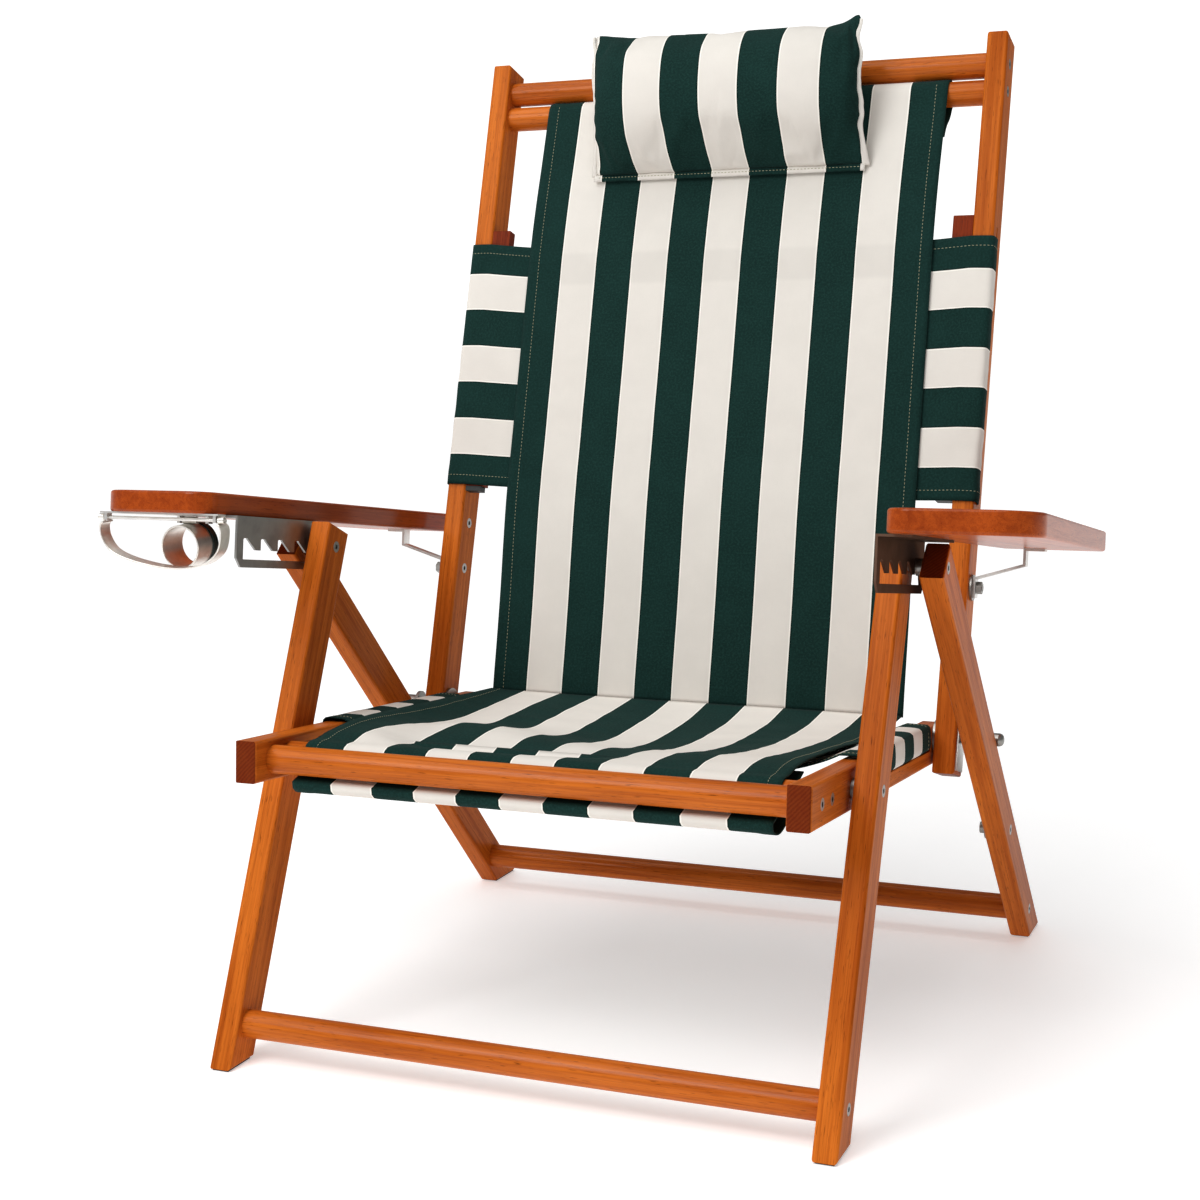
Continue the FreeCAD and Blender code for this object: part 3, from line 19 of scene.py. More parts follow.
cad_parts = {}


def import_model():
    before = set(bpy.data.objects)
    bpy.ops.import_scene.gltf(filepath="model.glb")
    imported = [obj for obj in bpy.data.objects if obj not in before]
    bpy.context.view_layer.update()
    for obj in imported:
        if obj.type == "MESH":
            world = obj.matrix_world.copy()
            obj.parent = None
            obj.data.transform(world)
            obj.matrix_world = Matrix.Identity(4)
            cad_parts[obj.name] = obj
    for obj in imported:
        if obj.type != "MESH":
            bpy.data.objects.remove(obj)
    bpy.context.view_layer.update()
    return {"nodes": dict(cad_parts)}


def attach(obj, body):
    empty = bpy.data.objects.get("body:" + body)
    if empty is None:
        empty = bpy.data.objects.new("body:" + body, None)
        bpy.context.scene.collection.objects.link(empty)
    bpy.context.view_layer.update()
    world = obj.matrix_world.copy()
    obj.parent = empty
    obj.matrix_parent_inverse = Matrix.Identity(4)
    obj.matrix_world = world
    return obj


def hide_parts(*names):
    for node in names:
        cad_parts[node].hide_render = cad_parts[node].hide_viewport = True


LOG = logging.getLogger("deck_chair")
MM = 0.001

Point = tuple[float, float]
Triple = tuple[float, float, float]
Colour = Triple
MeshData = tuple[list[Vector], list[tuple[int, ...]]]


# Frames of the chair's side view


@dataclass(frozen=True)
class SideFrame:
    """A line of the side view along which a frame member lies.

    Attributes:
        y: place of the origin behind the middle of the chair.
        z: height of the origin.
        lean: turn of the line from upright, towards the rear, in degrees.
    """

    y: float
    z: float
    lean: float

    def place(self, x: float, along: float, across: float) -> Vector:
        """Returns a point in metres.

        Args:
            x: place across the chair.
            along: distance along the member.
            across: distance towards the sitter.

        Returns:
            The point in the chair's own frame, in metres.
        """
        turn = math.radians(self.lean)
        s, c = math.sin(turn), math.cos(turn)
        return Vector((x, self.y + along * s - across * c, self.z + along * c + across * s)) * MM


BACK = SideFrame(97.040, 236.800, 17.0)
SEAT = SideFrame(-185.637, 252.509, 94.8)


def smooth_path(points: Sequence[Point], step: float) -> list[Point]:
    """Rounds a run of points with a centripetal spline and samples it evenly.

    Args:
        points: corners of the run.
        step: distance between samples.

    Returns:
        The samples, first and last corner included.
    """
    spots = [np.array(p, float) for p in points]
    spots = [2 * spots[0] - spots[1]] + spots + [2 * spots[-1] - spots[-2]]
    dense: list[np.ndarray] = []
    for a, b, c, d in zip(spots, spots[1:], spots[2:], spots[3:]):
        knots = [0.0]
        for p, q in ((a, b), (b, c), (c, d)):
            knots.append(knots[-1] + max(float(np.linalg.norm(q - p)) ** 0.5, 1e-6))
        for t in np.linspace(knots[1], knots[2], 12, endpoint=False):
            ab = a + (b - a) * (t - knots[0]) / (knots[1] - knots[0])
            bc = b + (c - b) * (t - knots[1]) / (knots[2] - knots[1])
            cd = c + (d - c) * (t - knots[2]) / (knots[3] - knots[2])
            abc = ab + (bc - ab) * (t - knots[0]) / (knots[2] - knots[0])
            bcd = bc + (cd - bc) * (t - knots[1]) / (knots[3] - knots[1])
            dense.append(abc + (bcd - abc) * (t - knots[1]) / (knots[2] - knots[1]))
    dense.append(spots[-2])
    line = np.array(dense)
    reach = np.concatenate([[0.0], np.cumsum(np.linalg.norm(np.diff(line, axis=0), axis=1))])
    count = max(2, round(reach[-1] / step) + 1)
    where = np.linspace(0.0, reach[-1], count)
    return [(float(np.interp(w, reach, line[:, 0])), float(np.interp(w, reach, line[:, 1]))) for w in where]


def path_normals(path: Sequence[Point]) -> list[Point]:
    """Gives the side of a run that lies a quarter turn before its direction.

    Args:
        path: the run's points.

    Returns:
        One unit vector for each point.
    """
    line = np.array(path)
    way = np.gradient(line, axis=0)
    way /= np.linalg.norm(way, axis=1)[:, None]
    return [(float(w[1]), float(-w[0])) for w in way]


def path_reach(path: Sequence[Point]) -> list[float]:
    """Gives how far along a run each of its points lies.

    Args:
        path: the run's points.

    Returns:
        The distances from the first point.
    """
    line = np.array(path)
    return [0.0] + [float(v) for v in np.cumsum(np.linalg.norm(np.diff(line, axis=0), axis=1))]


def share_of(path: Sequence[Point], share: float) -> Point:
    """Gives the point at a share of a run's length.

    Args:
        path: the run's points.
        share: the share, from 0 to 1.

    Returns:
        The point.
    """
    reach = path_reach(path)
    far = share * reach[-1]
    return (float(np.interp(far, reach, [p[0] for p in path])),
            float(np.interp(far, reach, [p[1] for p in path])))


def through(knots: Sequence[float], values: Sequence[float], where: float) -> float:
    """Value of a smooth curve that passes through given points.

    Args:
        knots: places of the points, rising.
        values: their values.
        where: the place asked for, held within the knots.

    Returns:
        The value there.
    """
    where = min(max(where, knots[0]), knots[-1])
    slopes = np.gradient(np.array(values, float), np.array(knots, float))
    i = min(int(np.searchsorted(knots, where, side="right")) - 1, len(knots) - 2)
    gap = knots[i + 1] - knots[i]
    t = (where - knots[i]) / gap
    return float((2 * t ** 3 - 3 * t ** 2 + 1) * values[i] + (t ** 3 - 2 * t ** 2 + t) * gap * slopes[i]
                 + (3 * t ** 2 - 2 * t ** 3) * values[i + 1] + (t ** 3 - t ** 2) * gap * slopes[i + 1])


def rise(value: float, low: float, high: float) -> float:
    """A smooth step from 0 at low to 1 at high."""
    t = min(max((value - low) / (high - low), 0.0), 1.0)
    return t * t * (3 - 2 * t)


def bump_at(value: float, middle: float, half: float) -> float:
    """A smooth hump of height 1 at its middle that is gone at half its width."""
    return 1.0 - rise(abs(value - middle), 0.0, half)


# Meshes


def mesh_piece(name: str, verts: Sequence[Vector], faces: Sequence[tuple[int, ...]],
               uvs: Sequence[Point] | None = None) -> bpy.types.Object:
    """Makes a smooth-shaded mesh piece with a UV point for each vertex.

    Args:
        name: name of the piece.
        verts: vertices in metres.
        faces: vertex numbers of each face.
        uvs: UV point of each vertex, in metres of flat cloth.

    Returns:
        The new object, linked to the scene.
    """
    mesh = bpy.data.meshes.new(name)
    mesh.from_pydata([tuple(v) for v in verts], [], list(faces))
    if uvs is not None:
        layer = mesh.uv_layers.new(name="cut")
        spots = np.array(uvs)[[loop.vertex_index for loop in mesh.loops]]
        layer.data.foreach_set("uv", spots.astype(np.float32).ravel())
    mesh.shade_smooth()
    piece = bpy.data.objects.new(name, mesh)
    bpy.context.scene.collection.objects.link(piece)
    return piece


def cloth_grid(name: str, rows: Sequence[Sequence[Vector]],
               uvs: Sequence[Sequence[Point]]) -> bpy.types.Object:
    """Makes a sheet from rows of points.

    Args:
        name: name of the piece.
        rows: points of the sheet, row by row.
        uvs: UV point of each of them.

    Returns:
        The sheet, without thickness.
    """
    wide = len(rows[0])
    verts = [p for row in rows for p in row]
    spots = [p for row in uvs for p in row]
    faces = [(r * wide + c, r * wide + c + 1, (r + 1) * wide + c + 1, (r + 1) * wide + c)
             for r in range(len(rows) - 1) for c in range(wide - 1)]
    return mesh_piece(name, verts, faces, spots)


def baked(piece: bpy.types.Object) -> bpy.types.Object:
    """Turns a piece's live modifiers into plain mesh.

    Args:
        piece: a mesh or curve object.

    Returns:
        A mesh object of the same name with the modifiers' result.
    """
    graph = bpy.context.evaluated_depsgraph_get()
    graph.update()
    mesh = bpy.data.meshes.new_from_object(piece.evaluated_get(graph))
    name = piece.name
    bpy.data.objects.remove(piece)
    mesh.name = name
    plain = bpy.data.objects.new(name, mesh)
    bpy.context.scene.collection.objects.link(plain)
    return plain


def thickened(piece: bpy.types.Object, thick: float) -> bpy.types.Object:
    """Gives a sheet its thickness, half to each side.

    Args:
        piece: the sheet.
        thick: its thickness.

    Returns:
        The closed piece.
    """
    wall = piece.modifiers.new("wall", "SOLIDIFY")
    wall.thickness = thick * MM
    wall.offset = 0.0
    wall.use_even_offset = True
    return baked(piece)


def loops_joined(loops: Sequence[Sequence[int]], closed: bool) -> list[tuple[int, ...]]:
    """Faces between neighbouring loops of vertices, with caps where the run isn't closed.

    Args:
        loops: vertex numbers of each loop, all of one length.
        closed: whether the last loop joins the first.

    Returns:
        The faces.
    """
    pairs = list(zip(loops, loops[1:])) + ([(loops[-1], loops[0])] if closed else [])
    faces = [(a[i], a[(i + 1) % len(a)], b[(i + 1) % len(a)], b[i]) for a, b in pairs for i in range(len(a))]
    return faces if closed else faces + [tuple(loops[0]), tuple(loops[-1])]


def hard_edged(piece: bpy.types.Object, angle: float = 32.0) -> bpy.types.Object:
    """Turns all faces outwards and keeps edges over an angle crisp.

    Args:
        piece: a closed mesh piece.
        angle: the angle in degrees.

    Returns:
        The same piece.
    """
    shape = bmesh.new()
    shape.from_mesh(piece.data)
    bmesh.ops.recalc_face_normals(shape, faces=shape.faces)
    shape.to_mesh(piece.data)
    shape.free()
    piece.data.shade_smooth()
    piece.data.set_sharp_from_angle(angle=math.radians(angle))
    return piece


# Finishes


class Value:
    """A number inside a material, on which Python's own operators add Math nodes."""

    def __init__(self, tree: bpy.types.NodeTree, socket: bpy.types.NodeSocket) -> None:
        """Keeps the tree and the socket that carries the number."""
        self.tree = tree
        self.socket = socket

    def math(self, operation: str, *others: "Value | float") -> "Value":
        """Adds one Math node.

        Args:
            operation: name of the operation.
            others: its further operands.

        Returns:
            The result.
        """
        node = self.tree.nodes.new("ShaderNodeMath")
        node.operation = operation
        for slot, item in zip(node.inputs, (self, *others)):
            if isinstance(item, Value):
                self.tree.links.new(item.socket, slot)
            else:
                slot.default_value = item
        return Value(self.tree, node.outputs[0])

    def __add__(self, other: "Value | float") -> "Value":
        """Sum."""
        return self.math("ADD", other)

    __radd__ = __add__

    def __sub__(self, other: "Value | float") -> "Value":
        """Difference."""
        return self.math("SUBTRACT", other)

    def __rsub__(self, other: float) -> "Value":
        """Difference from a number."""
        return (self * -1.0) + other

    def __mul__(self, other: "Value | float") -> "Value":
        """Product."""
        return self.math("MULTIPLY", other)

    __rmul__ = __mul__

    def __truediv__(self, other: "Value | float") -> "Value":
        """Quotient."""
        return self.math("DIVIDE", other)

    def __gt__(self, other: "Value | float") -> "Value":
        """1 where this is the greater, otherwise 0."""
        return self.math("GREATER_THAN", other)

    def __lt__(self, other: "Value | float") -> "Value":
        """1 where this is the smaller, otherwise 0."""
        return self.math("LESS_THAN", other)

    def step(self, low: float, high: float) -> "Value":
        """A smooth step from 0 to 1.

        Args:
            low: where it leaves 0.
            high: where it reaches 1.

        Returns:
            The step's value.
        """
        node = self.tree.nodes.new("ShaderNodeMapRange")
        node.interpolation_type = "SMOOTHSTEP"
        self.tree.links.new(self.socket, node.inputs["Value"])
        node.inputs["From Min"].default_value = low
        node.inputs["From Max"].default_value = high
        return Value(self.tree, node.outputs["Result"])


class Bench:
    """A node tree with one way of adding any node."""

    def __init__(self, tree: bpy.types.NodeTree) -> None:
        """Keeps the tree."""
        self.tree = tree

    def add(self, kind: str, settings: dict | None = None, **sockets: object) -> bpy.types.Node:
        """Adds any node.

        Args:
            kind: the node's type name.
            settings: attributes to set first; "stops" are a ramp's places and colours.
            sockets: values or links of its inputs, by name with _ for a space.

        Returns:
            The node.
        """
        node = self.tree.nodes.new(kind)
        for key, value in (settings or {}).items():
            if key == "stops":
                ramp = node.color_ramp
                while len(ramp.elements) < len(value):
                    ramp.elements.new(0.5)
                for element, (place, colour) in zip(ramp.elements, value):
                    element.position = place
                    element.color = (*colour, 1.0)
            else:
                setattr(node, key, value)
        for key, value in sockets.items():
            self.feed(node, key.replace("_", " "), value)
        return node

    def feed(self, node: bpy.types.Node, key: str, value: object) -> None:
        """Sets or links one input.

        Args:
            node: the node.
            key: the input's name, or its number as text.
            value: a number, a colour, a Value or an output socket.
        """
        socket = node.inputs[int(key)] if key.isdigit() else node.inputs[key]
        if isinstance(value, Value):
            self.tree.links.new(value.socket, socket)
        elif isinstance(value, bpy.types.NodeSocket):
            self.tree.links.new(value, socket)
        elif isinstance(value, tuple) and socket.type == "RGBA":
            socket.default_value = (*value, 1.0)
        else:
            socket.default_value = value


class Recipe(Bench):
    """One material under construction."""

    def __init__(self, name: str) -> None:
        """Starts a material with an empty shader.

        Args:
            name: name of the material.
        """
        self.material = bpy.data.materials.new(name)
        self.material.use_nodes = True
        super().__init__(self.material.node_tree)
        self.tree.nodes.clear()
        self.surface = self.add("ShaderNodeBsdfPrincipled")
        out = self.add("ShaderNodeOutputMaterial")
        self.tree.links.new(self.surface.outputs["BSDF"], out.inputs["Surface"])

    def value(self, socket: bpy.types.NodeSocket) -> Value:
        """Wraps an output so that it can be reckoned with."""
        return Value(self.tree, socket)

    def noise(self, where: bpy.types.NodeSocket, scale: float, detail: float = 2.0, rough: float = 0.5,
              twist: float = 0.0) -> Value:
        """Adds cloudy noise.

        Args:
            where: coordinates.
            scale: how fine it is.
            detail: octaves.
            rough: weight of the finer octaves.
            twist: distortion.

        Returns:
            A value about 0.5.
        """
        node = self.add("ShaderNodeTexNoise", None, Vector=where, Scale=scale, Detail=detail, Roughness=rough,
                        Distortion=twist)
        return self.value(node.outputs["Fac"])

    def mix(self, share: Value | float, low: object, high: object) -> bpy.types.NodeSocket:
        """Mixes two colours.

        Args:
            share: weight of the second colour.
            low: the first colour, or a socket.
            high: the second colour, or a socket.

        Returns:
            The mixed colour.
        """
        node = self.add("ShaderNodeMix", {"data_type": "RGBA"})
        self.feed(node, "0", share)
        for socket, colour in ((node.inputs[6], low), (node.inputs[7], high)):
            if isinstance(colour, bpy.types.NodeSocket):
                self.tree.links.new(colour, socket)
            else:
                socket.default_value = (*colour, 1.0)
        return node.outputs[2]

    def bump(self, height: Value, strength: float, depth: float) -> bpy.types.NodeSocket:
        """Adds relief.

        Args:
            height: the relief, from 0 to 1.
            strength: how much of it shows.
            depth: its real height in metres.

        Returns:
            The shading normal.
        """
        node = self.add("ShaderNodeBump", None, Height=height, Strength=strength, Distance=depth)
        return node.outputs["Normal"]

    def finish(self, **sockets: object) -> bpy.types.Material:
        """Feeds the shader and hands the material over.

        Args:
            sockets: values or links of the shader's inputs, by name with _ for a space.

        Returns:
            The material.
        """
        for key, value in sockets.items():
            self.feed(self.surface, key.replace("_", " "), value)
        return self.material


@dataclass(frozen=True)
class Canvas:
    """Woven awning cloth in two colours, striped along the U of its UV map.

    Attributes:
        name: name of the material.
        pitch: width of one stripe.
        start: where the first stripe begins, along U.
        dark: colour of the first stripe.
        pale: colour of the second.
        painted_shade: stretch along V over which the pale stripes are painted darker, as painted shade of the
            band behind the cloth.
        cut: stretch along U outside which the cloth is plain and pale.
        lining: name of the attribute that is 1 where the cloth is plain and pale.
        thread: width of one thread.
        edging: how far from a stripe's edge the fine line fades, from and to.
        edging_pale: colour of that line on the pale side.
        painted_shade_blur: softness of the painted shade's ends.
        relief: height of the weave in metres.
    """

    name: str
    pitch: float
    start: float = 0.0
    dark: Colour = (0.0105, 0.0322, 0.0280)
    pale: Colour = (0.78, 0.745, 0.690)
    painted_shade: Point = (0.0, 0.0)
    cut: Point = (0.0, 0.0)
    lining: str = ""
    thread: float = 0.62
    edging: Point = (0.7, 1.7)
    edging_pale: Colour = (0.95, 0.92, 0.85)
    painted_shade_blur: float = 3.0
    relief: float = 0.00018

    def make(self) -> bpy.types.Material:
        """Builds the material with its weave, stripe edges, slight unevenness and any band of painted shade.

        Returns:
            The material.
        """
        r = Recipe(self.name)
        uv = r.add("ShaderNodeUVMap", {"uv_map": "cut"}).outputs["UV"]
        parts = r.add("ShaderNodeSeparateXYZ", None, Vector=uv)
        u = (r.value(parts.outputs["X"]) - self.start * MM) / (self.pitch * MM)
        v = r.value(parts.outputs["Y"]) / (self.pitch * MM)
        turn = (u * 0.5).math("FRACT")
        edge = (turn - 0.5).math("ABSOLUTE")
        near = edge.math("MINIMUM", 0.5 - edge) * (2.0 * self.pitch)
        on_pale = turn > 0.5
        if self.cut[1] > self.cut[0]:
            place = r.value(parts.outputs["X"])
            for outside in (place < self.cut[0] * MM, place > self.cut[1] * MM):
                on_pale = on_pale.math("MAXIMUM", outside)
        if self.lining:
            plain = r.value(r.add("ShaderNodeAttribute", {"attribute_name": self.lining}).outputs["Fac"])
            on_pale = on_pale.math("MAXIMUM", plain > 0.5)
        line = 1.0 - near.step(*self.edging)
        thread_u = (u * (self.pitch / self.thread) * math.pi).math("SINE")
        thread_v = (v * (self.pitch / self.thread) * math.pi).math("SINE")
        weave = (thread_u * thread_v) * 0.5 + 0.5
        cloud = r.noise(uv, 26.0, 4.0, 0.6)
        mottle = r.noise(uv, 480.0, 3.0, 0.75)
        drawn = r.add("ShaderNodeMapping", None, Vector=uv, Scale=(900.0, 90.0, 1.0)).outputs["Vector"]
        slub = r.noise(drawn, 1.0)
        dark = r.mix(cloud.step(0.3, 0.75), self.dark, tuple(1.25 * c for c in self.dark))
        dark = r.mix(line * 0.75, dark, tuple(0.3 * c for c in self.dark))
        dark = r.mix(mottle.step(0.40, 0.7) * 0.5, dark, tuple(2.3 * c for c in self.dark))
        dark = r.mix(weave * 0.15, dark, tuple(2.0 * c for c in self.dark))
        pale = r.mix(cloud.step(0.25, 0.8), tuple(0.955 * c for c in self.pale), self.pale)
        pale = r.mix(line * 0.9, pale, self.edging_pale)
        pale = r.mix(mottle.step(0.5, 0.8) * 0.10, pale, tuple(0.8 * c for c in self.pale))
        pale = r.mix(slub.step(0.45, 0.9) * 0.12, pale, tuple(0.85 * c for c in self.pale))
        # Painted shade: over the given stretch of V the pale stripes are darkened slightly, standing in for
        # the shade of the band behind the cloth.
        if self.painted_shade[1] > self.painted_shade[0]:
            up = r.value(parts.outputs["Y"])
            low, high = (g * MM for g in self.painted_shade)
            blur = self.painted_shade_blur * MM
            behind = up.step(low - blur, low + blur) * (1.0 - up.step(high - blur, high + blur))
            pale = r.mix(behind * 0.085, pale, tuple(0.3 * c for c in self.pale))
        colour = r.mix(on_pale, dark, pale)
        relief = weave * 0.6 + slub * 0.4
        return r.finish(Base_Color=colour, Roughness=cloud * 0.1 + 0.82, Specular_IOR_Level=0.08,
                        Sheen_Weight=0.03, Sheen_Roughness=0.5, Sheen_Tint=(1.0, 1.0, 1.0),
                        Normal=r.bump(relief, 0.30, self.relief))


class Grain(Enum):
    """Which way the grain of a wooden piece runs."""

    ACROSS = "across the chair"
    SIDE = "in the side view"


@dataclass(frozen=True)
class Timber:
    """Oiled and varnished orange-brown hardwood.

    Attributes:
        name: name of the material.
        grain: the plane in which the grain lies.
        lean: turn of the grain from upright, towards the rear, in degrees.
        light: colour of the early wood.
        deep: colour of the late wood.
        seed: shift of the figure, so that pieces differ.
        end: how dark the end grain is.
        varnish: weight of the gloss coat.
        end_light: colour of the end grain's early wood.
        end_deep: colour of its late wood.
    """

    name: str
    grain: Grain
    lean: float = 0.0
    light: Colour = (0.66, 0.190, 0.027)
    deep: Colour = (0.33, 0.068, 0.006)
    seed: float = 0.0
    end: float = 0.9
    varnish: float = 0.06
    end_light: Colour = (0.160, 0.024, 0.006)
    end_deep: Colour = (0.112, 0.014, 0.004)

    def axis(self) -> Vector:
        """Works out the direction of the grain.

        Returns:
            A unit vector.
        """
        if self.grain is Grain.ACROSS:
            return Vector((1.0, 0.0, 0.0))
        lean = math.radians(self.lean)
        return Vector((0.0, math.sin(lean), math.cos(lean)))

    def make(self) -> bpy.types.Material:
        """Builds the material with streaks, flecks, darker ends and a thin varnish.

        Returns:
            The material.
        """
        r = Recipe(self.name)
        spots = r.add("ShaderNodeTexCoord")
        axis = self.axis()
        turn = tuple(axis.rotation_difference(Vector((1.0, 0.0, 0.0))).to_euler())
        lay = r.add("ShaderNodeMapping", None, Vector=spots.outputs["Object"], Rotation=turn,
                    Location=(self.seed, 0.7 * self.seed, 0.3 * self.seed)).outputs["Vector"]

        def stretched(along: float, across: float) -> bpy.types.NodeSocket:
            """Coordinates drawn out along the grain."""
            drawn = r.add("ShaderNodeMapping", None, Vector=lay, Scale=(along, across, across))
            return drawn.outputs["Vector"]

        broad = r.noise(stretched(3.0, 22.0), 1.0, 3.0, 0.5, 0.5)
        streak = r.noise(stretched(4.0, 190.0), 1.0, 4.0, 0.65, 0.8)
        fibre = r.noise(stretched(22.0, 1300.0), 1.0, 2.0, 0.6)
        fleck = r.noise(stretched(85.0, 1500.0), 1.0, 1.0, 0.5)
        colour = r.mix(broad.step(0.3, 0.7) * 0.5 + streak.step(0.38, 0.66) * 0.42, self.light, self.deep)
        colour = r.mix(fibre.step(0.42, 0.78) * 0.34, colour, tuple(0.55 * c for c in self.deep))
        colour = r.mix(fleck.step(0.64, 0.75) * 0.65, colour, tuple(0.22 * c for c in self.deep))
        facing = r.add("ShaderNodeVectorMath", {"operation": "DOT_PRODUCT"})
        r.feed(facing, "0", spots.outputs["Normal"])
        r.feed(facing, "1", tuple(axis))
        end = r.value(facing.outputs["Value"]).math("ABSOLUTE").step(0.55, 0.85)
        sawn = r.add("ShaderNodeMapping", None, Vector=spots.outputs["Object"], Rotation=(0.5, 0.75, 0.2),
                     Location=(0.0, self.seed, 0.0)).outputs["Vector"]
        growth = r.add("ShaderNodeTexWave", {"bands_direction": "Z"}, Vector=sawn, Scale=125.0,
                       Distortion=4.5, Detail=3.0, Detail_Scale=0.6)
        rings = r.value(growth.outputs["Fac"])
        ends = r.mix(rings.step(0.15, 0.95), self.end_light, self.end_deep)
        ends = r.mix(fibre.step(0.5, 0.8) * 0.3, ends, tuple(0.2 * c for c in self.deep))
        colour = r.mix(end * self.end, colour, ends)
        relief = fibre * 0.6 + streak * 0.4
        return r.finish(Base_Color=colour, Roughness=streak * 0.12 + 0.32, Specular_IOR_Level=0.05,
                        Coat_Weight=self.varnish, Coat_Roughness=0.16, Normal=r.bump(relief, 0.10, 0.00015))


@dataclass(frozen=True)
class Steel:
    """Stainless steel with a brushed face.

    Attributes:
        name: name of the material.
        colour: its colour.
        rough: mean roughness.
        brush: how fast the brush marks change along X, Y and Z.
        edge: how bright it mirrors at a glancing angle.
    """

    name: str
    colour: Colour = (0.66, 0.645, 0.62)
    rough: float = 0.27
    brush: Triple = (60.0, 60.0, 1800.0)
    edge: float = 1.0

    def make(self) -> bpy.types.Material:
        """Builds the material with brush marks and faint handling marks.

        Returns:
            The material.
        """
        r = Recipe(self.name)
        spots = r.add("ShaderNodeTexCoord").outputs["Object"]
        lay = r.add("ShaderNodeMapping", None, Vector=spots, Scale=self.brush).outputs["Vector"]
        marks = r.noise(lay, 1.0, 3.0, 0.6)
        haze = r.noise(spots, 70.0, 3.0, 0.6)
        colour = r.mix(haze.step(0.35, 0.8) * 0.5, self.colour, tuple(0.62 * c for c in self.colour))
        return r.finish(Base_Color=colour, Metallic=1.0, Roughness=marks * 0.16 + (self.rough - 0.05),
                        Specular_Tint=(self.edge, self.edge, self.edge), Normal=r.bump(marks, 0.08, 0.0001))


@dataclass(frozen=True)
class Moulded:
    """Dull rubber or moulded plastic.

    Attributes:
        name: name of the material.
        colour: its colour.
        rough: its roughness.
    """

    name: str
    colour: Colour
    rough: float

    def make(self) -> bpy.types.Material:
        """Builds the material with a fine moulded grain and rubbed patches.

        Returns:
            The material.
        """
        r = Recipe(self.name)
        spots = r.add("ShaderNodeTexCoord").outputs["Object"]
        grit = r.noise(spots, 2400.0, 2.0)
        worn = r.noise(spots, 160.0, 3.0)
        colour = r.mix(worn.step(0.45, 0.8) * 0.4, self.colour, tuple(2.2 * c + 0.004 for c in self.colour))
        return r.finish(Base_Color=colour, Roughness=worn * 0.15 + (self.rough - 0.07),
                        Normal=r.bump(grit, 0.15, 0.0001))


@dataclass(frozen=True)
class Thread:
    """Twisted sewing thread.

    Attributes:
        name: name of the material.
        colour: its colour.
    """

    name: str
    colour: Colour

    def make(self) -> bpy.types.Material:
        """Builds the material with a twisted ply.

        Returns:
            The material.
        """
        r = Recipe(self.name)
        spots = r.add("ShaderNodeTexCoord").outputs["Object"]
        ply = r.add("ShaderNodeTexWave", {"bands_direction": "DIAGONAL"}, Vector=spots, Scale=900.0,
                    Distortion=1.0)
        twist = r.value(ply.outputs["Fac"])
        colour = r.mix(twist * 0.4, self.colour, tuple(0.55 * c for c in self.colour))
        return r.finish(Base_Color=colour, Roughness=twist * 0.1 + 0.7, Specular_IOR_Level=0.2)


# Stitches


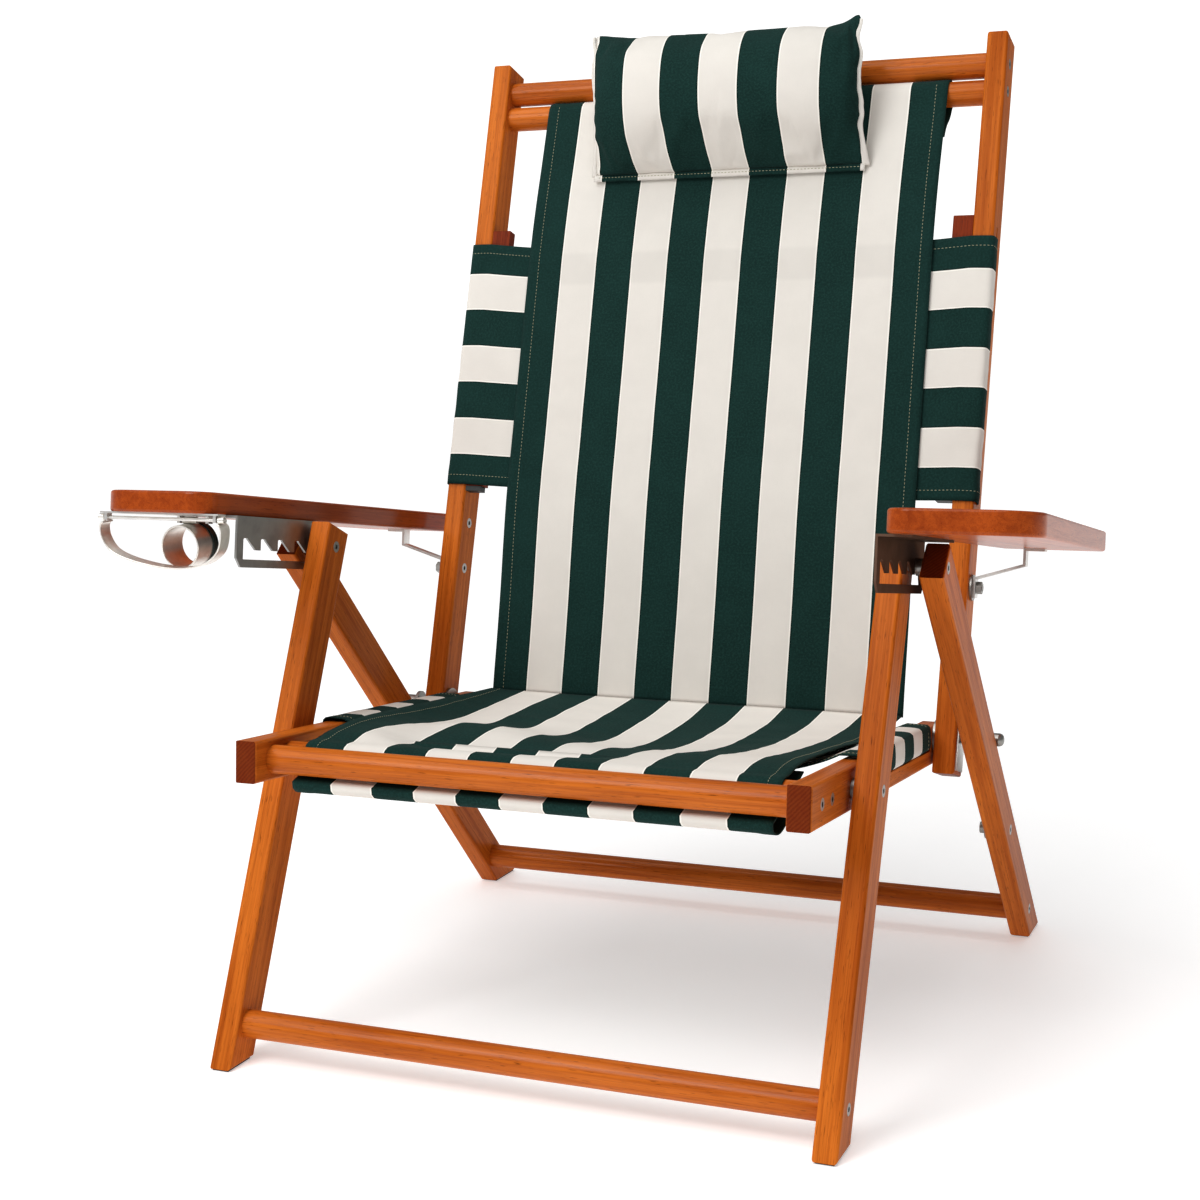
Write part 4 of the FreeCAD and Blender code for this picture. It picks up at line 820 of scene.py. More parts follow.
@dataclass
class Seam:
    """Rows of equal stitches laid along lines by Geometry Nodes.

    Attributes:
        name: name of the piece.
        thread: finish of the thread.
        long: length of a stitch.
        spacing: distance from one stitch to the next.
        thick: thickness of the thread.
        lines: the rows, as points in metres.
    """

    name: str
    thread: bpy.types.Material
    long: float = 2.3
    spacing: float = 3.5
    thick: float = 0.7
    lines: list[list[Vector]] = field(default_factory=list)

    def sizes(self) -> dict[str, float]:
        """The tree's named inputs with their values in metres."""
        return {"Spacing": self.spacing * MM, "Length": self.long * MM, "Thickness": self.thick * MM}

    def tree(self) -> bpy.types.NodeTree:
        """Builds the node tree that sets one rounded stitch at every step of a curve.

        Returns:
            The tree, with named inputs for the sizes.
        """
        tree = bpy.data.node_groups.new(self.name + "_stitches", "GeometryNodeTree")
        for end in ("INPUT", "OUTPUT"):
            tree.interface.new_socket("Geometry", in_out=end, socket_type="NodeSocketGeometry")
        for label in self.sizes():
            tree.interface.new_socket(label, in_out="INPUT", socket_type="NodeSocketFloat")

        bench = Bench(tree)
        given = bench.add("NodeGroupInput")
        steps = bench.add("GeometryNodeResampleCurve", {"mode": "LENGTH"}, Curve=given.outputs["Geometry"],
                          Length=given.outputs["Spacing"])
        bead = bench.add("GeometryNodeMeshUVSphere", Segments=6, Rings=4, Radius=0.5)
        size = bench.add("ShaderNodeCombineXYZ", X=given.outputs["Thickness"], Y=given.outputs["Thickness"],
                         Z=given.outputs["Length"])
        drawn = bench.add("GeometryNodeTransform", Geometry=bead.outputs["Mesh"],
                          Scale=size.outputs["Vector"])
        way = bench.add("GeometryNodeInputTangent")
        turn = bench.add("FunctionNodeAlignRotationToVector", {"axis": "Z"}, Vector=way.outputs["Tangent"])
        sewn = bench.add("GeometryNodeInstanceOnPoints", Points=steps.outputs["Curve"],
                         Instance=drawn.outputs["Geometry"], Rotation=turn.outputs["Rotation"])
        real = bench.add("GeometryNodeRealizeInstances", Geometry=sewn.outputs["Instances"])
        dressed = bench.add("GeometryNodeSetMaterial", Geometry=real.outputs["Geometry"],
                            Material=self.thread)
        bench.add("NodeGroupOutput", Geometry=dressed.outputs["Geometry"])
        return tree

    def build(self, body: str) -> bpy.types.Object:
        """Sews the rows and hangs them on a body.

        Args:
            body: the CAD body that they ride on.

        Returns:
            The stitches as one mesh.
        """
        curve = bpy.data.curves.new(self.name, "CURVE")
        curve.dimensions = "3D"
        for line in self.lines:
            spline = curve.splines.new("POLY")
            spline.points.add(len(line) - 1)
            for point, spot in zip(spline.points, line):
                point.co = (*spot, 1.0)
        piece = bpy.data.objects.new(self.name, curve)
        bpy.context.scene.collection.objects.link(piece)
        sewing = piece.modifiers.new("stitches", "NODES")
        tree = self.tree()
        sewing.node_group = tree
        sizes = self.sizes()
        for item in tree.interface.items_tree:
            if item.in_out == "INPUT" and item.name in sizes:
                sewing[item.identifier] = sizes[item.name]
        plain = baked(piece)
        plain.data.shade_smooth()
        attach(plain, body)
        return plain


# Sub-assemblies


@dataclass
class Woodwork:
    """Legs, rails, dowels, arms and battens: the CAD pieces with their timber.

    Attributes:
        leans: turn of the grain for each kind of piece in the side view, by the start of its node's name.
        arm_light: colour of the arms' early wood.
        arm_deep: colour of their late wood.
        batten_light: colour of the battens' early wood.
        batten_deep: colour of their late wood.
    """

    leans: tuple[tuple[str, float], ...] = (("front_leg", 24.0), ("rear_leg", -44.0), ("seat_rail", 94.8),
                                            ("back_rail", 17.0), ("back_battens", 17.0), ("arm_left", 98.0),
                                            ("arm_right", 98.0))
    arm_light: Colour = (0.490, 0.101, 0.013)
    arm_deep: Colour = (0.260, 0.041, 0.004)
    batten_light: Colour = (0.250, 0.037, 0.005)
    batten_deep: Colour = (0.130, 0.015, 0.002)

    def timber(self, name: str, seed: float) -> Timber | None:
        """Chooses the timber of a node.

        Args:
            name: the node's name.
            seed: shift of its figure.

        Returns:
            Its timber, or None where the node isn't wooden.
        """
        if name.endswith(("_dowel", "_rung")):
            return Timber("timber_" + name, Grain.ACROSS, seed=seed, varnish=0.25)
        lean = next((lean for start, lean in self.leans if name.startswith(start)), None)
        if lean is None:
            return None
        plain = Timber("timber_" + name, Grain.SIDE, lean, seed=seed)
        if name == "back_battens":
            return replace(plain, light=self.batten_light, deep=self.batten_deep, varnish=0.05)
        if name in ("arm_left", "arm_right"):
            return replace(plain, light=self.arm_light, deep=self.arm_deep, end=0.15, varnish=0.40)
        return plain

    def dress(self, nodes: dict[str, bpy.types.Object]) -> None:
        """Gives every wooden node its own timber.

        Args:
            nodes: the frame's objects by name.
        """
        for number, name in enumerate(sorted(nodes)):
            timber = self.timber(name, 0.37 * number)
            if timber:
                dress(nodes[name], timber.make())
                LOG.info("timber on %s", name)


def dress(piece: bpy.types.Object, material: bpy.types.Material) -> None:
    """Puts one material on all of a piece.

    Args:
        piece: the piece.
        material: its finish.
    """
    if not piece.material_slots:
        piece.data.materials.append(material)
    for slot in piece.material_slots:
        slot.material = material


@dataclass
class Hardware:
    """Bolts, plates, straps, the glass holder's bracket, the clips and the pads.

    Attributes:
        plates: endings of the names of plain brushed plates.
        painted_shade_plates: the plate that gets a darker, browner copy of the plate's finish, as painted
            shade and painted reflection of the wood around it.
        strips: the bright bent strips and small plates.
        turned: bolts, screws and washers.
        pads: the rubber feet.
        clips: the plastic clips.
        plate_brush: how fast the brush marks of the plates change along X, Y and Z.
        turned_brush: the same for the turned parts.
    """

    plates: tuple[str, ...] = ("notch_plate_right", "link_left", "link_right")
    painted_shade_plates: tuple[str, ...] = ("notch_plate_left",)
    strips: tuple[str, ...] = ("arm_strap_left", "arm_strap_right", "cup_bracket", "back_pivot_plate_left",
                               "back_pivot_plate_right")
    turned: tuple[str, ...] = ("_screws", "_bolts", "_washers", "_inner", "_outer")
    pads: tuple[str, ...] = ("_foot_pads",)
    clips: tuple[str, ...] = ("batten_caps",)
    plate_brush: Triple = (900.0, 60.0, 60.0)
    turned_brush: Triple = (400.0, 400.0, 700.0)

    def dress(self, nodes: dict[str, bpy.types.Object]) -> None:
        """Gives the metal, rubber and plastic nodes their finishes.

        Args:
            nodes: the frame's objects by name.
        """
        plate = Steel("brushed_plate", (0.36, 0.36, 0.35), 0.42, self.plate_brush, 0.7).make()
        # A darker, browner copy of the brushed plate: painted shade and painted reflection of the dark wood,
        # for the plate that lies in shade under the arm.
        painted_shade_plate = Steel("brushed_plate_painted_shade", (0.17, 0.105, 0.075), 0.42, self.plate_brush, 0.35).make()
        bright = Steel("brushed_strip", (0.78, 0.76, 0.73), 0.34).make()
        turned = Steel("turned_steel", (0.36, 0.35, 0.33), 0.33, self.turned_brush).make()
        rubber = Moulded("black_rubber", (0.020, 0.020, 0.021), 0.85).make()
        plastic = Moulded("black_plastic_clip", (0.014, 0.018, 0.017), 0.5).make()
        looks = ((self.plates, plate), (self.painted_shade_plates, painted_shade_plate), (self.strips, bright),
                 (self.turned, turned), (self.pads, rubber), (self.clips, plastic))
        for name, piece in nodes.items():
            finish = next((look for endings, look in looks if name.endswith(endings)), None)
            if finish:
                dress(piece, finish)
                LOG.info("%s on %s", finish.name, name)


@dataclass
class GlassHolder:
    """The stirrup of flat strip and the bottle ring under the arm, both hung from the bracket's pins.

    The strip stands 4.5 mm in front of its pin and no more, so that it folds flat under the arm.

    Attributes:
        hoop_middle: middle of the stirrup across the chair.
        hoop_pin: its pin in the side view: place behind the chair's middle, and height.
        reach: half the stirrup's width.
        drop: its depth below the pin.
        hooked_end: each end of the strip, as distance inwards and height from the pin.
        near_belly: the strip's run below its left end, as distance inwards and share of the depth.
        far_belly: the same below its right end, from the lowest point upwards.
        front: front edge of the strip, from the pin.
        strip: width of the strip.
        metal: thickness of the strip and of the ring's wall.
        eyes_at: where the stirrup's two eyes begin, from its middle.
        eye_long: length of each of them.
        ring_middle: middle of the ring across the chair.
        ring_pin: its pin in the side view.
        ring_radius: outer radius of the ring.
        ring_drop: distance from the pin down to the ring's axis.
        ring_long: length of the ring.
        ring_eye: length of the ring's own eye.
        rim_wide: width of the dark band on the ring.
        rim_high: height of the band over the ring.
        rim_end: distance from the band to the ring's rear edge.
        knuckle: outer radius of an eye.
        bore: inner radius of an eye.
        around_eye: flats round an eye.
        around_ring: flats round the ring.
    """

    hoop_middle: float = -340.0
    hoop_pin: Point = (-249.901, 455.691)
    reach: float = 61.0
    drop: float = 42.0
    hooked_end: tuple[Point, ...] = ((3.9, -3.8), (2.0, -4.2), (0.4, -6.6), (0.0, -11.0))
    near_belly: tuple[Point, ...] = ((1.6, 0.42), (9.0, 0.66), (30.0, 0.86))
    far_belly: tuple[Point, ...] = ((18.0, 0.88), (4.0, 0.62))
    front: float = -4.5
    strip: float = 14.0
    metal: float = 1.5
    eyes_at: Point = (-63.4, 57.4)
    eye_long: float = 6.0
    ring_middle: float = -336.0
    ring_pin: Point = (-216.232, 450.959)
    ring_radius: float = 19.0
    ring_drop: float = 21.7
    ring_long: float = 30.0
    ring_eye: float = 14.0
    rim_wide: float = 8.0
    rim_high: float = 1.1
    rim_end: float = 0.3
    knuckle: float = 3.2
    bore: float = 1.8
    around_eye: int = 20
    around_ring: int = 96

    def bevelled(self, low: float, high: float, near: float, far: float, cut: float) -> list[Point]:
        """Corners of a rectangle with cut corners, between low and high and between near and far."""
        return [(high, near + cut), (high, far - cut), (high - cut, far), (low + cut, far),
                (low, far - cut), (low, near + cut), (low + cut, near), (high - cut, near)]

    def turned(self, centre: Vector, axis: Vector, start: Vector, outline: list[Point],
               steps: int) -> MeshData:
        """Turns an outline of (radius, place along the axis) about an axis.

        Args:
            centre: a point on the axis, in millimetres.
            axis: direction of the axis.
            start: direction of the first radius.
            outline: the closed outline.
            steps: steps of a full turn.

        Returns:
            Vertices in millimetres and faces.
        """
        side = axis.cross(start)
        verts: list[Vector] = []
        loops = []
        for i in range(steps):
            angle = 2 * math.pi * i / steps
            out = start * math.cos(angle) + side * math.sin(angle)
            loops.append(range(len(verts), len(verts) + len(outline)))
            verts += [centre + out * radius + axis * along for radius, along in outline]
        return verts, loops_joined(loops, closed=True)

    def bent_strip(self) -> MeshData:
        """The stirrup's strip, whose ends are bent in under the pin.

        Returns:
            Vertices in millimetres and faces.
        """
        half, deep = self.reach, self.drop
        run = [(-half + inward, high) for inward, high in self.hooked_end]
        run += [(-half + inward, -share * deep) for inward, share in self.near_belly]
        run.append((half * 0.25, -deep))
        run += [(half - inward, -share * deep) for inward, share in self.far_belly]
        run += [(half - inward, high) for inward, high in reversed(self.hooked_end)]
        path = smooth_path(run, 1.6)
        outline = self.bevelled(-self.metal / 2, self.metal / 2, self.front, self.front + self.strip, 0.35)
        pin_y, pin_z = self.hoop_pin
        verts: list[Vector] = []
        loops = []
        for (x, z), (nx, nz) in zip(path, path_normals(path)):
            loops.append(range(len(verts), len(verts) + len(outline)))
            verts += [Vector((self.hoop_middle + x + nx * out, pin_y + y, pin_z + z + nz * out))
                      for out, y in outline]
        return verts, loops_joined(loops, closed=False)

    def piece(self, name: str, parts: Sequence[MeshData], finish: bpy.types.Material, body: str, node: str,
              slot: str) -> None:
        """Joins parts into one piece and hangs it on its body in place of its node.

        Args:
            name: name of the piece.
            parts: vertices in millimetres and faces of each part.
            finish: its material.
            body: the body that it rides on.
            node: the CAD node that it stands for.
            slot: not used.
        """
        verts: list[Vector] = []
        faces: list[tuple[int, ...]] = []
        for points, sides in parts:
            faces += [tuple(len(verts) + i for i in side) for side in sides]
            verts += [p * MM for p in points]
        made = hard_edged(mesh_piece(name, verts, faces))
        dress(made, finish)
        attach(made, body)
        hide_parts(node)
        LOG.info("%s bent and hung", name)

    def build(self) -> None:
        """Makes the stirrup, the ring and the ring's dark band."""
        satin = Steel("brushed_holder_strip", (0.88, 0.85, 0.80), 0.36, (45.0, 2600.0, 45.0)).make()
        band = Moulded("dark_ring_band", (0.010, 0.022, 0.019), 0.45).make()
        across, down, backward = Vector((1.0, 0.0, 0.0)), Vector((0.0, 0.0, -1.0)), Vector((0.0, 1.0, 0.0))

        hollow = self.bevelled(self.bore, self.knuckle, 0.0, self.eye_long, 0.3)
        pin = Vector((self.hoop_middle, *self.hoop_pin))
        eyes = [self.turned(pin + across * at, across, down, hollow, self.around_eye) for at in self.eyes_at]
        self.piece("holder_hoop", [self.bent_strip()] + eyes, satin, "cup_hoop_body", "cup_hoop", "steel")

        hang = Vector((self.ring_middle, *self.ring_pin))
        middle = hang + down * self.ring_drop
        half = self.ring_long / 2
        wall = self.bevelled(self.ring_radius - self.metal, self.ring_radius, -half, half, 0.35)
        hollow = self.bevelled(self.bore, self.knuckle, 0.0, self.ring_eye, 0.3)
        eye = self.turned(hang - across * 5.0, across, down, hollow, self.around_eye)
        ring = self.turned(middle, backward, down, wall, self.around_ring)
        self.piece("holder_ring", [ring, eye], satin, "cup_ring_body", "cup_ring", "steel")

        rim = self.bevelled(self.ring_radius + 0.05, self.ring_radius + self.rim_high, half - self.rim_wide,
                            half - self.rim_end, 0.8)
        around = self.turned(middle, backward, down, rim, self.around_ring)
        self.piece("holder_ring_band", [around], band, "cup_ring_body", "cup_ring_rim", "black_plastic")


@dataclass
class Sling:
    """The long striped cloth, as a back piece and a seat piece that meet at the crease.

    Attributes:
        half: half the cloth's width.
        pitch: width of a stripe.
        thick: thickness of the cloth.
        column: width of one column of the mesh.
        row: length of one row.
        hem: width of the hem along each edge.
        hem_high: how far the hem stands over the cloth.
        stitch_in: distance from the edge to the stitches.
        stitch_high: how far the thread's middle stands over the cloth's face.
        grip: radius of the cloth's middle round a dowel.
        top_dowel: place of the sling dowel along the back.
        over_band: height of the cloth where the side band lies behind it.
        seat_front: place of the sling dowel along the seat.
        loop_drop: how far the loose loop hangs below the seat's dowel.
        loop_reach: length of cloth in the loop, before the seat's surface starts.
        crease: place along the seat where both pieces meet.
        painted_shade_span: stretch of the back piece painted faintly darker, as painted shade of the band's
            edge behind it.
        fullness: height of the back cloth's soft waves.
        ridge_high: height of its folds.
        ridges: place, half width and share of the height of each fold.
        droop: extra height of the seat's right edge.
        middle: which run of the drape the seat piece is cut by.
        drape: height of the seat cloth over the seat frame: for each place across the chair, pairs of
            distance along the frame and height.
    """

    half: float = 208.0
    pitch: float = 38.2
    thick: float = 1.3
    column: float = 5.2
    row: float = 5.0
    hem: float = 11.5
    hem_high: float = 0.4
    stitch_in: float = 11.2
    stitch_high: float = 0.12
    grip: float = 13.1
    top_dowel: float = 614.7
    over_band: float = 20.3
    seat_front: float = -56.0
    loop_drop: float = 15.0
    loop_reach: float = 150.0
    crease: float = 278.6
    painted_shade_span: Point = (249.0, 281.0)
    fullness: float = 1.1
    ridge_high: float = 0.5
    ridges: tuple[Triple, ...] = ((452.0, 22.0, 1.0), (300.0, 20.0, 0.6), (236.0, 18.0, 0.5))
    droop: float = 2.4
    middle: int = 3
    drape: tuple[tuple[float, tuple[Point, ...]], ...] = (
        (-203.0, ((-56.0, 14.2), (-20.0, 19.0), (8.0, 22.4), (69.0, 24.6), (120.0, 25.0), (167.0, 25.4),
                  (230.0, 25.8), (278.6, 25.5))),
        (-168.0, ((-56.0, 14.8), (-33.0, 18.6), (-5.0, 20.0), (32.0, 18.8), (62.0, 16.4), (93.0, 14.2),
                  (145.0, 13.2), (182.0, 16.2), (224.0, 20.2), (278.6, 25.0))),
        (-131.0, ((-56.0, 15.0), (-36.0, 12.7), (-12.0, 10.3), (16.0, 13.3), (44.0, 17.0), (68.0, 18.5),
                  (100.0, 14.7), (132.0, 12.1), (168.0, 14.9), (221.0, 20.4), (278.6, 24.6))),
        (22.0, ((-56.0, 14.6), (-38.0, 12.6), (-13.0, 9.2), (3.0, 8.9), (24.0, 10.3), (44.0, 10.3),
                (64.0, 7.6), (94.0, 4.2), (128.0, 3.4), (162.0, 5.2), (196.0, 9.4), (232.0, 14.4),
                (278.6, 24.2))),
        (102.0, ((-56.0, 15.2), (-31.0, 15.7), (5.0, 16.0), (32.0, 13.5), (65.0, 10.6), (99.0, 8.2),
                 (153.0, 8.4), (191.0, 11.0), (230.0, 14.5), (278.6, 24.2))),
        (203.0, ((-56.0, 14.6), (-11.0, 18.6), (30.0, 17.8), (73.0, 16.7), (120.0, 15.3), (160.0, 14.8),
                 (210.0, 16.6), (278.6, 23.6))),
    )

    def height(self, x: float, along: float) -> float:
        """Height of the seat cloth over the frame."""
        tall = [through([a for a, _ in run], [h for _, h in run], along) for _, run in self.drape]
        return through([at for at, _ in self.drape], tall, x)

    def centre(self, where: SideFrame, along: float) -> float:
        """How far to the right the cloth's middle lies, because it was hung a little askew.

        Args:
            where: the member that it lies along.
            along: place along the member.

        Returns:
            The distance.
        """
        if where is SEAT:
            return 1.5 + 6.0 * rise(along, self.seat_front, self.crease)
        return 8.5 - 3.0 * rise(along, 120.0, 520.0) + 1.0 * rise(along, 520.0, 620.0)

    def columns(self) -> list[float]:
        """Places of the columns across the cloth."""
        count = round(2 * self.half / self.column)
        return [-self.half + 2 * self.half * i / count for i in range(count + 1)]

    def loop(self, reach: float, first: float, last: float, steps: int) -> list[Point]:
        """Points round a dowel, by angle from the sitter's side towards the member's end."""
        turns = [math.radians(first + (last - first) * i / steps) for i in range(steps + 1)]
        return [(reach + self.grip * math.sin(turn), self.grip * math.cos(turn)) for turn in turns]

    def back_path(self) -> list[Point]:
        """Side view of the back piece, from the pocket's hem round the dowel and down to the crease.

        Returns:
            Evenly spaced points.
        """
        top, grip, face = self.top_dowel, self.grip, self.over_band
        pocket = [(top - 46.0, 11.6), (top - 34.0, 6.8), (top - 21.0, -4.0)]
        fall = [(top - 24.0, grip + 1.0), (top - 60.0, grip + 2.8), (482.0, face), (408.0, face + 0.3),
                (280.0, face + 0.3), (210.0, face), (160.0, face - 3.4), (110.0, 12.6), (60.0, 9.4),
                (30.0, 7.2), (14.0, 5.6)]
        return smooth_path(pocket + self.loop(top, 222.0, 0.0, 12) + fall, self.row)

    def seat_path(self) -> list[Point]:
        """Side view of the seat piece, from the sewn end of the loose loop to the crease.

        Returns:
            Evenly spaced points.
        """
        at = self.seat_front
        under = -12.0 - self.loop_drop
        spot, _ = self.drape[self.middle]
        loose = [(at + 46.0, 12.0), (at + 30.0, 4.0), (at + 17.0, -12.0), (at + 2.0, under + 4.0),
                 (at - 14.0, under), (at - 27.0, under + 3.0), (at - 30.0, under + 9.0), (at - 20.0, -14.0)]
        flat = [(float(a), self.height(spot, float(a))) for a in np.linspace(at + 14.0, self.crease, 30)]
        return smooth_path(loose + self.loop(at, -112.0, 0.0, 7) + flat, self.row)

    def sheet(self, name: str, where: SideFrame, path: list[Point],
              lift: Callable[[float, float, float], float]) -> tuple[bpy.types.Object, list[list[Vector]]]:
        """Makes one piece of the sling.

        Args:
            name: name of the piece.
            where: the member that it lies along.
            path: its side view.
            lift: extra height over the path at (x, reach, along).

        Returns:
            The cloth and the points of both stitch lines.
        """
        upward = 1.0 if where is BACK else -1.0
        normals = [(upward * a, upward * b) for a, b in path_normals(path)]
        rows, spots = [], []
        seams: list[list[Vector]] = [[], []]
        hemmed = self.half - self.hem
        for (along, across), (na, nc), far in zip(path, normals, path_reach(path)):
            middle = self.centre(where, along)

            def point(x: float, out: float = 0.0) -> Vector:
                """A point of the cloth's middle, or one above it, on the thicker hem near the edges."""
                up = lift(x, far, along) + out + self.hem_high * rise(abs(x), hemmed - 1.0, hemmed)
                return where.place(x + middle, along + na * up, across + nc * up)

            rows.append([point(x) for x in self.columns()])
            spots.append([((x + self.half) * MM, far * MM) for x in self.columns()])
            for seam, sign in zip(seams, (-1, 1)):
                seam.append(point(sign * (self.half - self.stitch_in), self.thick / 2 + self.stitch_high))
        return thickened(cloth_grid(name, rows, spots), self.thick), seams

    def back_lift(self, x: float, far: float, along: float) -> float:
        """Slight fullness of the back cloth, with folds where the band lies behind it.

        Args:
            x: place across the cloth.
            far: distance from the cloth's end, which doesn't matter here.
            along: place along the back.

        Returns:
            The height over the path.
        """
        free = rise(self.top_dowel - 20.0 - along, 0.0, 60.0) * rise(along, 12.0, 60.0)
        cloud = noise.noise(Vector((x * 0.006, along * 0.009, 1.3)))
        folds = sum(share * bump_at(along, place, half) for place, half, share in self.ridges)
        return free * (self.fullness * cloud + self.ridge_high * folds)

    def seat_lift(self, x: float, far: float, along: float) -> float:
        """Drape of the seat cloth beside the path of its middle, with a drooping right edge.

        Args:
            x: place across the cloth.
            far: distance from the cloth's end.
            along: place along the seat.

        Returns:
            The height over the path.
        """
        if far < self.loop_reach or along < self.seat_front:
            return 0.0
        spot = self.drape[self.middle][0]
        wide = min(max(x + self.centre(SEAT, along), self.drape[0][0]), self.drape[-1][0])
        start = rise(along, self.seat_front, self.seat_front + 26.0)
        ripple = noise.noise(Vector((x * 0.013 + 2.0, along * 0.05, 4.2)))
        edge = rise(x, self.half - self.hem - 4.0, self.half) * bump_at(along, 85.0, 110.0)
        curl = 0.6 * ripple * rise(along, -40.0, 0.0) * rise(self.crease - along, 4.0, 60.0)
        return start * (self.height(wide, along) - self.height(spot, along)) + curl + self.droop * edge

    def build(self, thread: bpy.types.Material) -> None:
        """Makes both pieces with their stitches and hangs them on their frames.

        Args:
            thread: finish of the stitches.
        """
        start = self.half - 5.5 * self.pitch
        plain = Canvas("striped_canvas", self.pitch, start).make()
        # The back piece's canvas is painted slightly darker over the stretch where the band lies behind it:
        # painted shade.
        shown = Canvas("striped_canvas_back_painted_shade", self.pitch, start, painted_shade=self.painted_shade_span).make()
        for name, where, path, lift, body, node, canvas, carried, unsewn in (
                ("back_cloth", BACK, self.back_path(), self.back_lift, "back_frame", "sling_back", shown,
                 ["back_sling_dowel", "side_band_back"], 18),
                ("seat_cloth", SEAT, self.seat_path(), self.seat_lift, "seat_frame", "sling_seat", plain,
                 ["seat_sling_dowel", "side_band_seat"], 22)):
            cloth, seams = self.sheet(name, where, path, lift)
            dress(cloth, canvas)
            sewn = Seam(name + "_stitches", thread, lines=[seam[unsewn:-1] for seam in seams]).build(body)
            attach(cloth, body)
            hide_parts(node)
            LOG.info("%s sewn, %d rows", name, len(path))


@dataclass
class SideBand:
    """A striped band drawn over both rails of a frame, with its edges held in the rails' grooves.

    Attributes:
        name: name of the piece.
        node: the CAD node that it stands for.
        body: the body that it rides on.
        where: the member that it wraps.
        low: its lower edge along the member.
        high: its upper edge.
        outer: outer face of the rail, across the chair.
        inner: inner face of the rail.
        groove: place of the groove towards the sitter.
        sag: how far the band's middle hangs below the rails.
        dip: how far its edges sink along the member in the middle.
        skew: slope of the band across the chair.
        pitch: width of a stripe.
        start: where the first stripe begins.
        thick: thickness of the cloth.
        stitch_in: distance from an edge to its stitches.
        stitch_high: how far the thread's middle stands over the cloth's face.
        sewn_from: distance from the groove at which the stitches begin.
        sewn_to: place across the chair at which they end.
        front: the rail's front face, towards the sitter.
        corner: radius of the cloth round the rail's corner.
        deep: depth of the groove.
        pucker: strength of the puckers at the groove.
        row: width of one row of the mesh.
        inwards: distances from the rail's inner face at which the section is drawn.
    """

    name: str
    node: str
    body: str
    where: SideFrame
    low: float
    high: float
    outer: float
    inner: float
    groove: float
    sag: float
    dip: float = 0.0
    skew: float = 0.0
    pitch: float = 32.0
    start: float = 0.0
    thick: float = 1.1
    stitch_in: float = 9.5
    stitch_high: float = 0.1
    sewn_from: float = 7.0
    sewn_to: float = 196.0
    front: float = 18.5
    corner: float = 3.6
    deep: float = 5.4
    pucker: float = 1.0
    row: float = 4.0
    inwards: tuple[float, ...] = (3.0, 6.0, 10.0, 15.0, 21.0, 28.0, 37.0, 48.0, 62.0, 80.0, 105.0, 135.0,
                                  170.0)

    def section(self) -> list[Point]:
        """Half the band's cross-section, from the groove to the middle of the chair.

        Returns:
            Points of (x, towards the sitter).
        """
        side = self.outer + 0.95
        turns = [math.radians(15.0 * i) for i in range(1, 7)]
        arc = [(side - self.corner * (1 - math.cos(a)), self.front - self.corner * (1 - math.sin(a)))
               for a in turns]
        tucked = [(self.outer - self.deep, self.groove), (self.outer - 0.6, self.groove),
                  (side, self.groove + 1.8), (side, self.front - self.corner)]
        run = smooth_path(tucked + arc + [(self.inner, self.front)], 2.6)
        inward = [self.inner - d for d in self.inwards] + [0.0]
        return run + [(x, self.front - self.sag * (1.0 - (x / self.inner) ** 4)) for x in inward]

    def point(self, x: float, across: float, along: float, sign: int, far: float, extra: float) -> Vector:
        """A point of the band, with the puckers at the groove.

        Args:
            x: place across the chair on the right half.
            across: distance towards the sitter.
            along: place along the member.
            sign: which half.
            far: distance from the groove along the section.
            extra: distance out of the cloth's middle.

        Returns:
            The point in metres.
        """
        on_side = rise(far, 4.5, 9.0) * (1.0 - rise(far, 15.0, 30.0))
        wave = noise.noise(Vector((along * 0.055, 0.0, 3.0 * sign + self.low)))
        out = self.pucker * on_side * (0.55 + 1.1 * wave)
        full = rise(far, 22.0, 34.0) * (1.0 - rise(far, 40.0, 75.0))
        puff = full * (0.5 + 0.9 * noise.noise(Vector((along * 0.03, far * 0.04, 7.0 + sign))))
        on_face = rise(far, 18.0, 26.0)
        share = (along - self.low) / (self.high - self.low)
        hang = self.dip * (0.35 + 0.65 * share) * (1.0 - min(x / self.inner, 1.0) ** 2) + self.skew * sign * x
        return self.where.place(sign * (x + max(out, -0.1) + extra * (1 - on_face)), along - hang,
                                across + max(puff, 0.0) + extra * on_face)

    def build(self, thread: bpy.types.Material) -> None:
        """Makes the band with its stitches.

        Args:
            thread: finish of the stitches.
        """
        half = self.section()
        reach = path_reach(half)
        total = reach[-1]
        count = round((self.high - self.low) / self.row)
        rows, spots = [], []
        for i in range(count + 1):
            along = self.low + (self.high - self.low) * i / count
            right = [self.point(x, c, along, 1, far, 0.0) for (x, c), far in zip(half, reach)]
            left = [self.point(x, c, along, -1, far, 0.0) for (x, c), far in zip(half, reach)]
            rows.append(right + left[-2::-1])
            v = (along - self.low) * MM
            spots.append([(v, far * MM) for far in reach]
                         + [(v, (2 * total - far) * MM) for far in reach[-2::-1]])
        canvas = Canvas(self.name + "_canvas", self.pitch, self.start).make()
        band = thickened(cloth_grid(self.name, rows, spots), self.thick)
        dress(band, canvas)
        out = self.thick / 2 + self.stitch_high
        lines = [[self.point(x, c, along, sign, far, out)
                  for (x, c), far in zip(half, reach) if far > self.sewn_from and x > self.sewn_to]
                 for along in (self.low + self.stitch_in, self.high - self.stitch_in) for sign in (1, -1)]
        sewn = Seam(self.name + "_stitches", thread, lines=lines).build(self.body)
        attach(band, self.body)
        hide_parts(self.node)
        LOG.info("%s sewn", self.name)


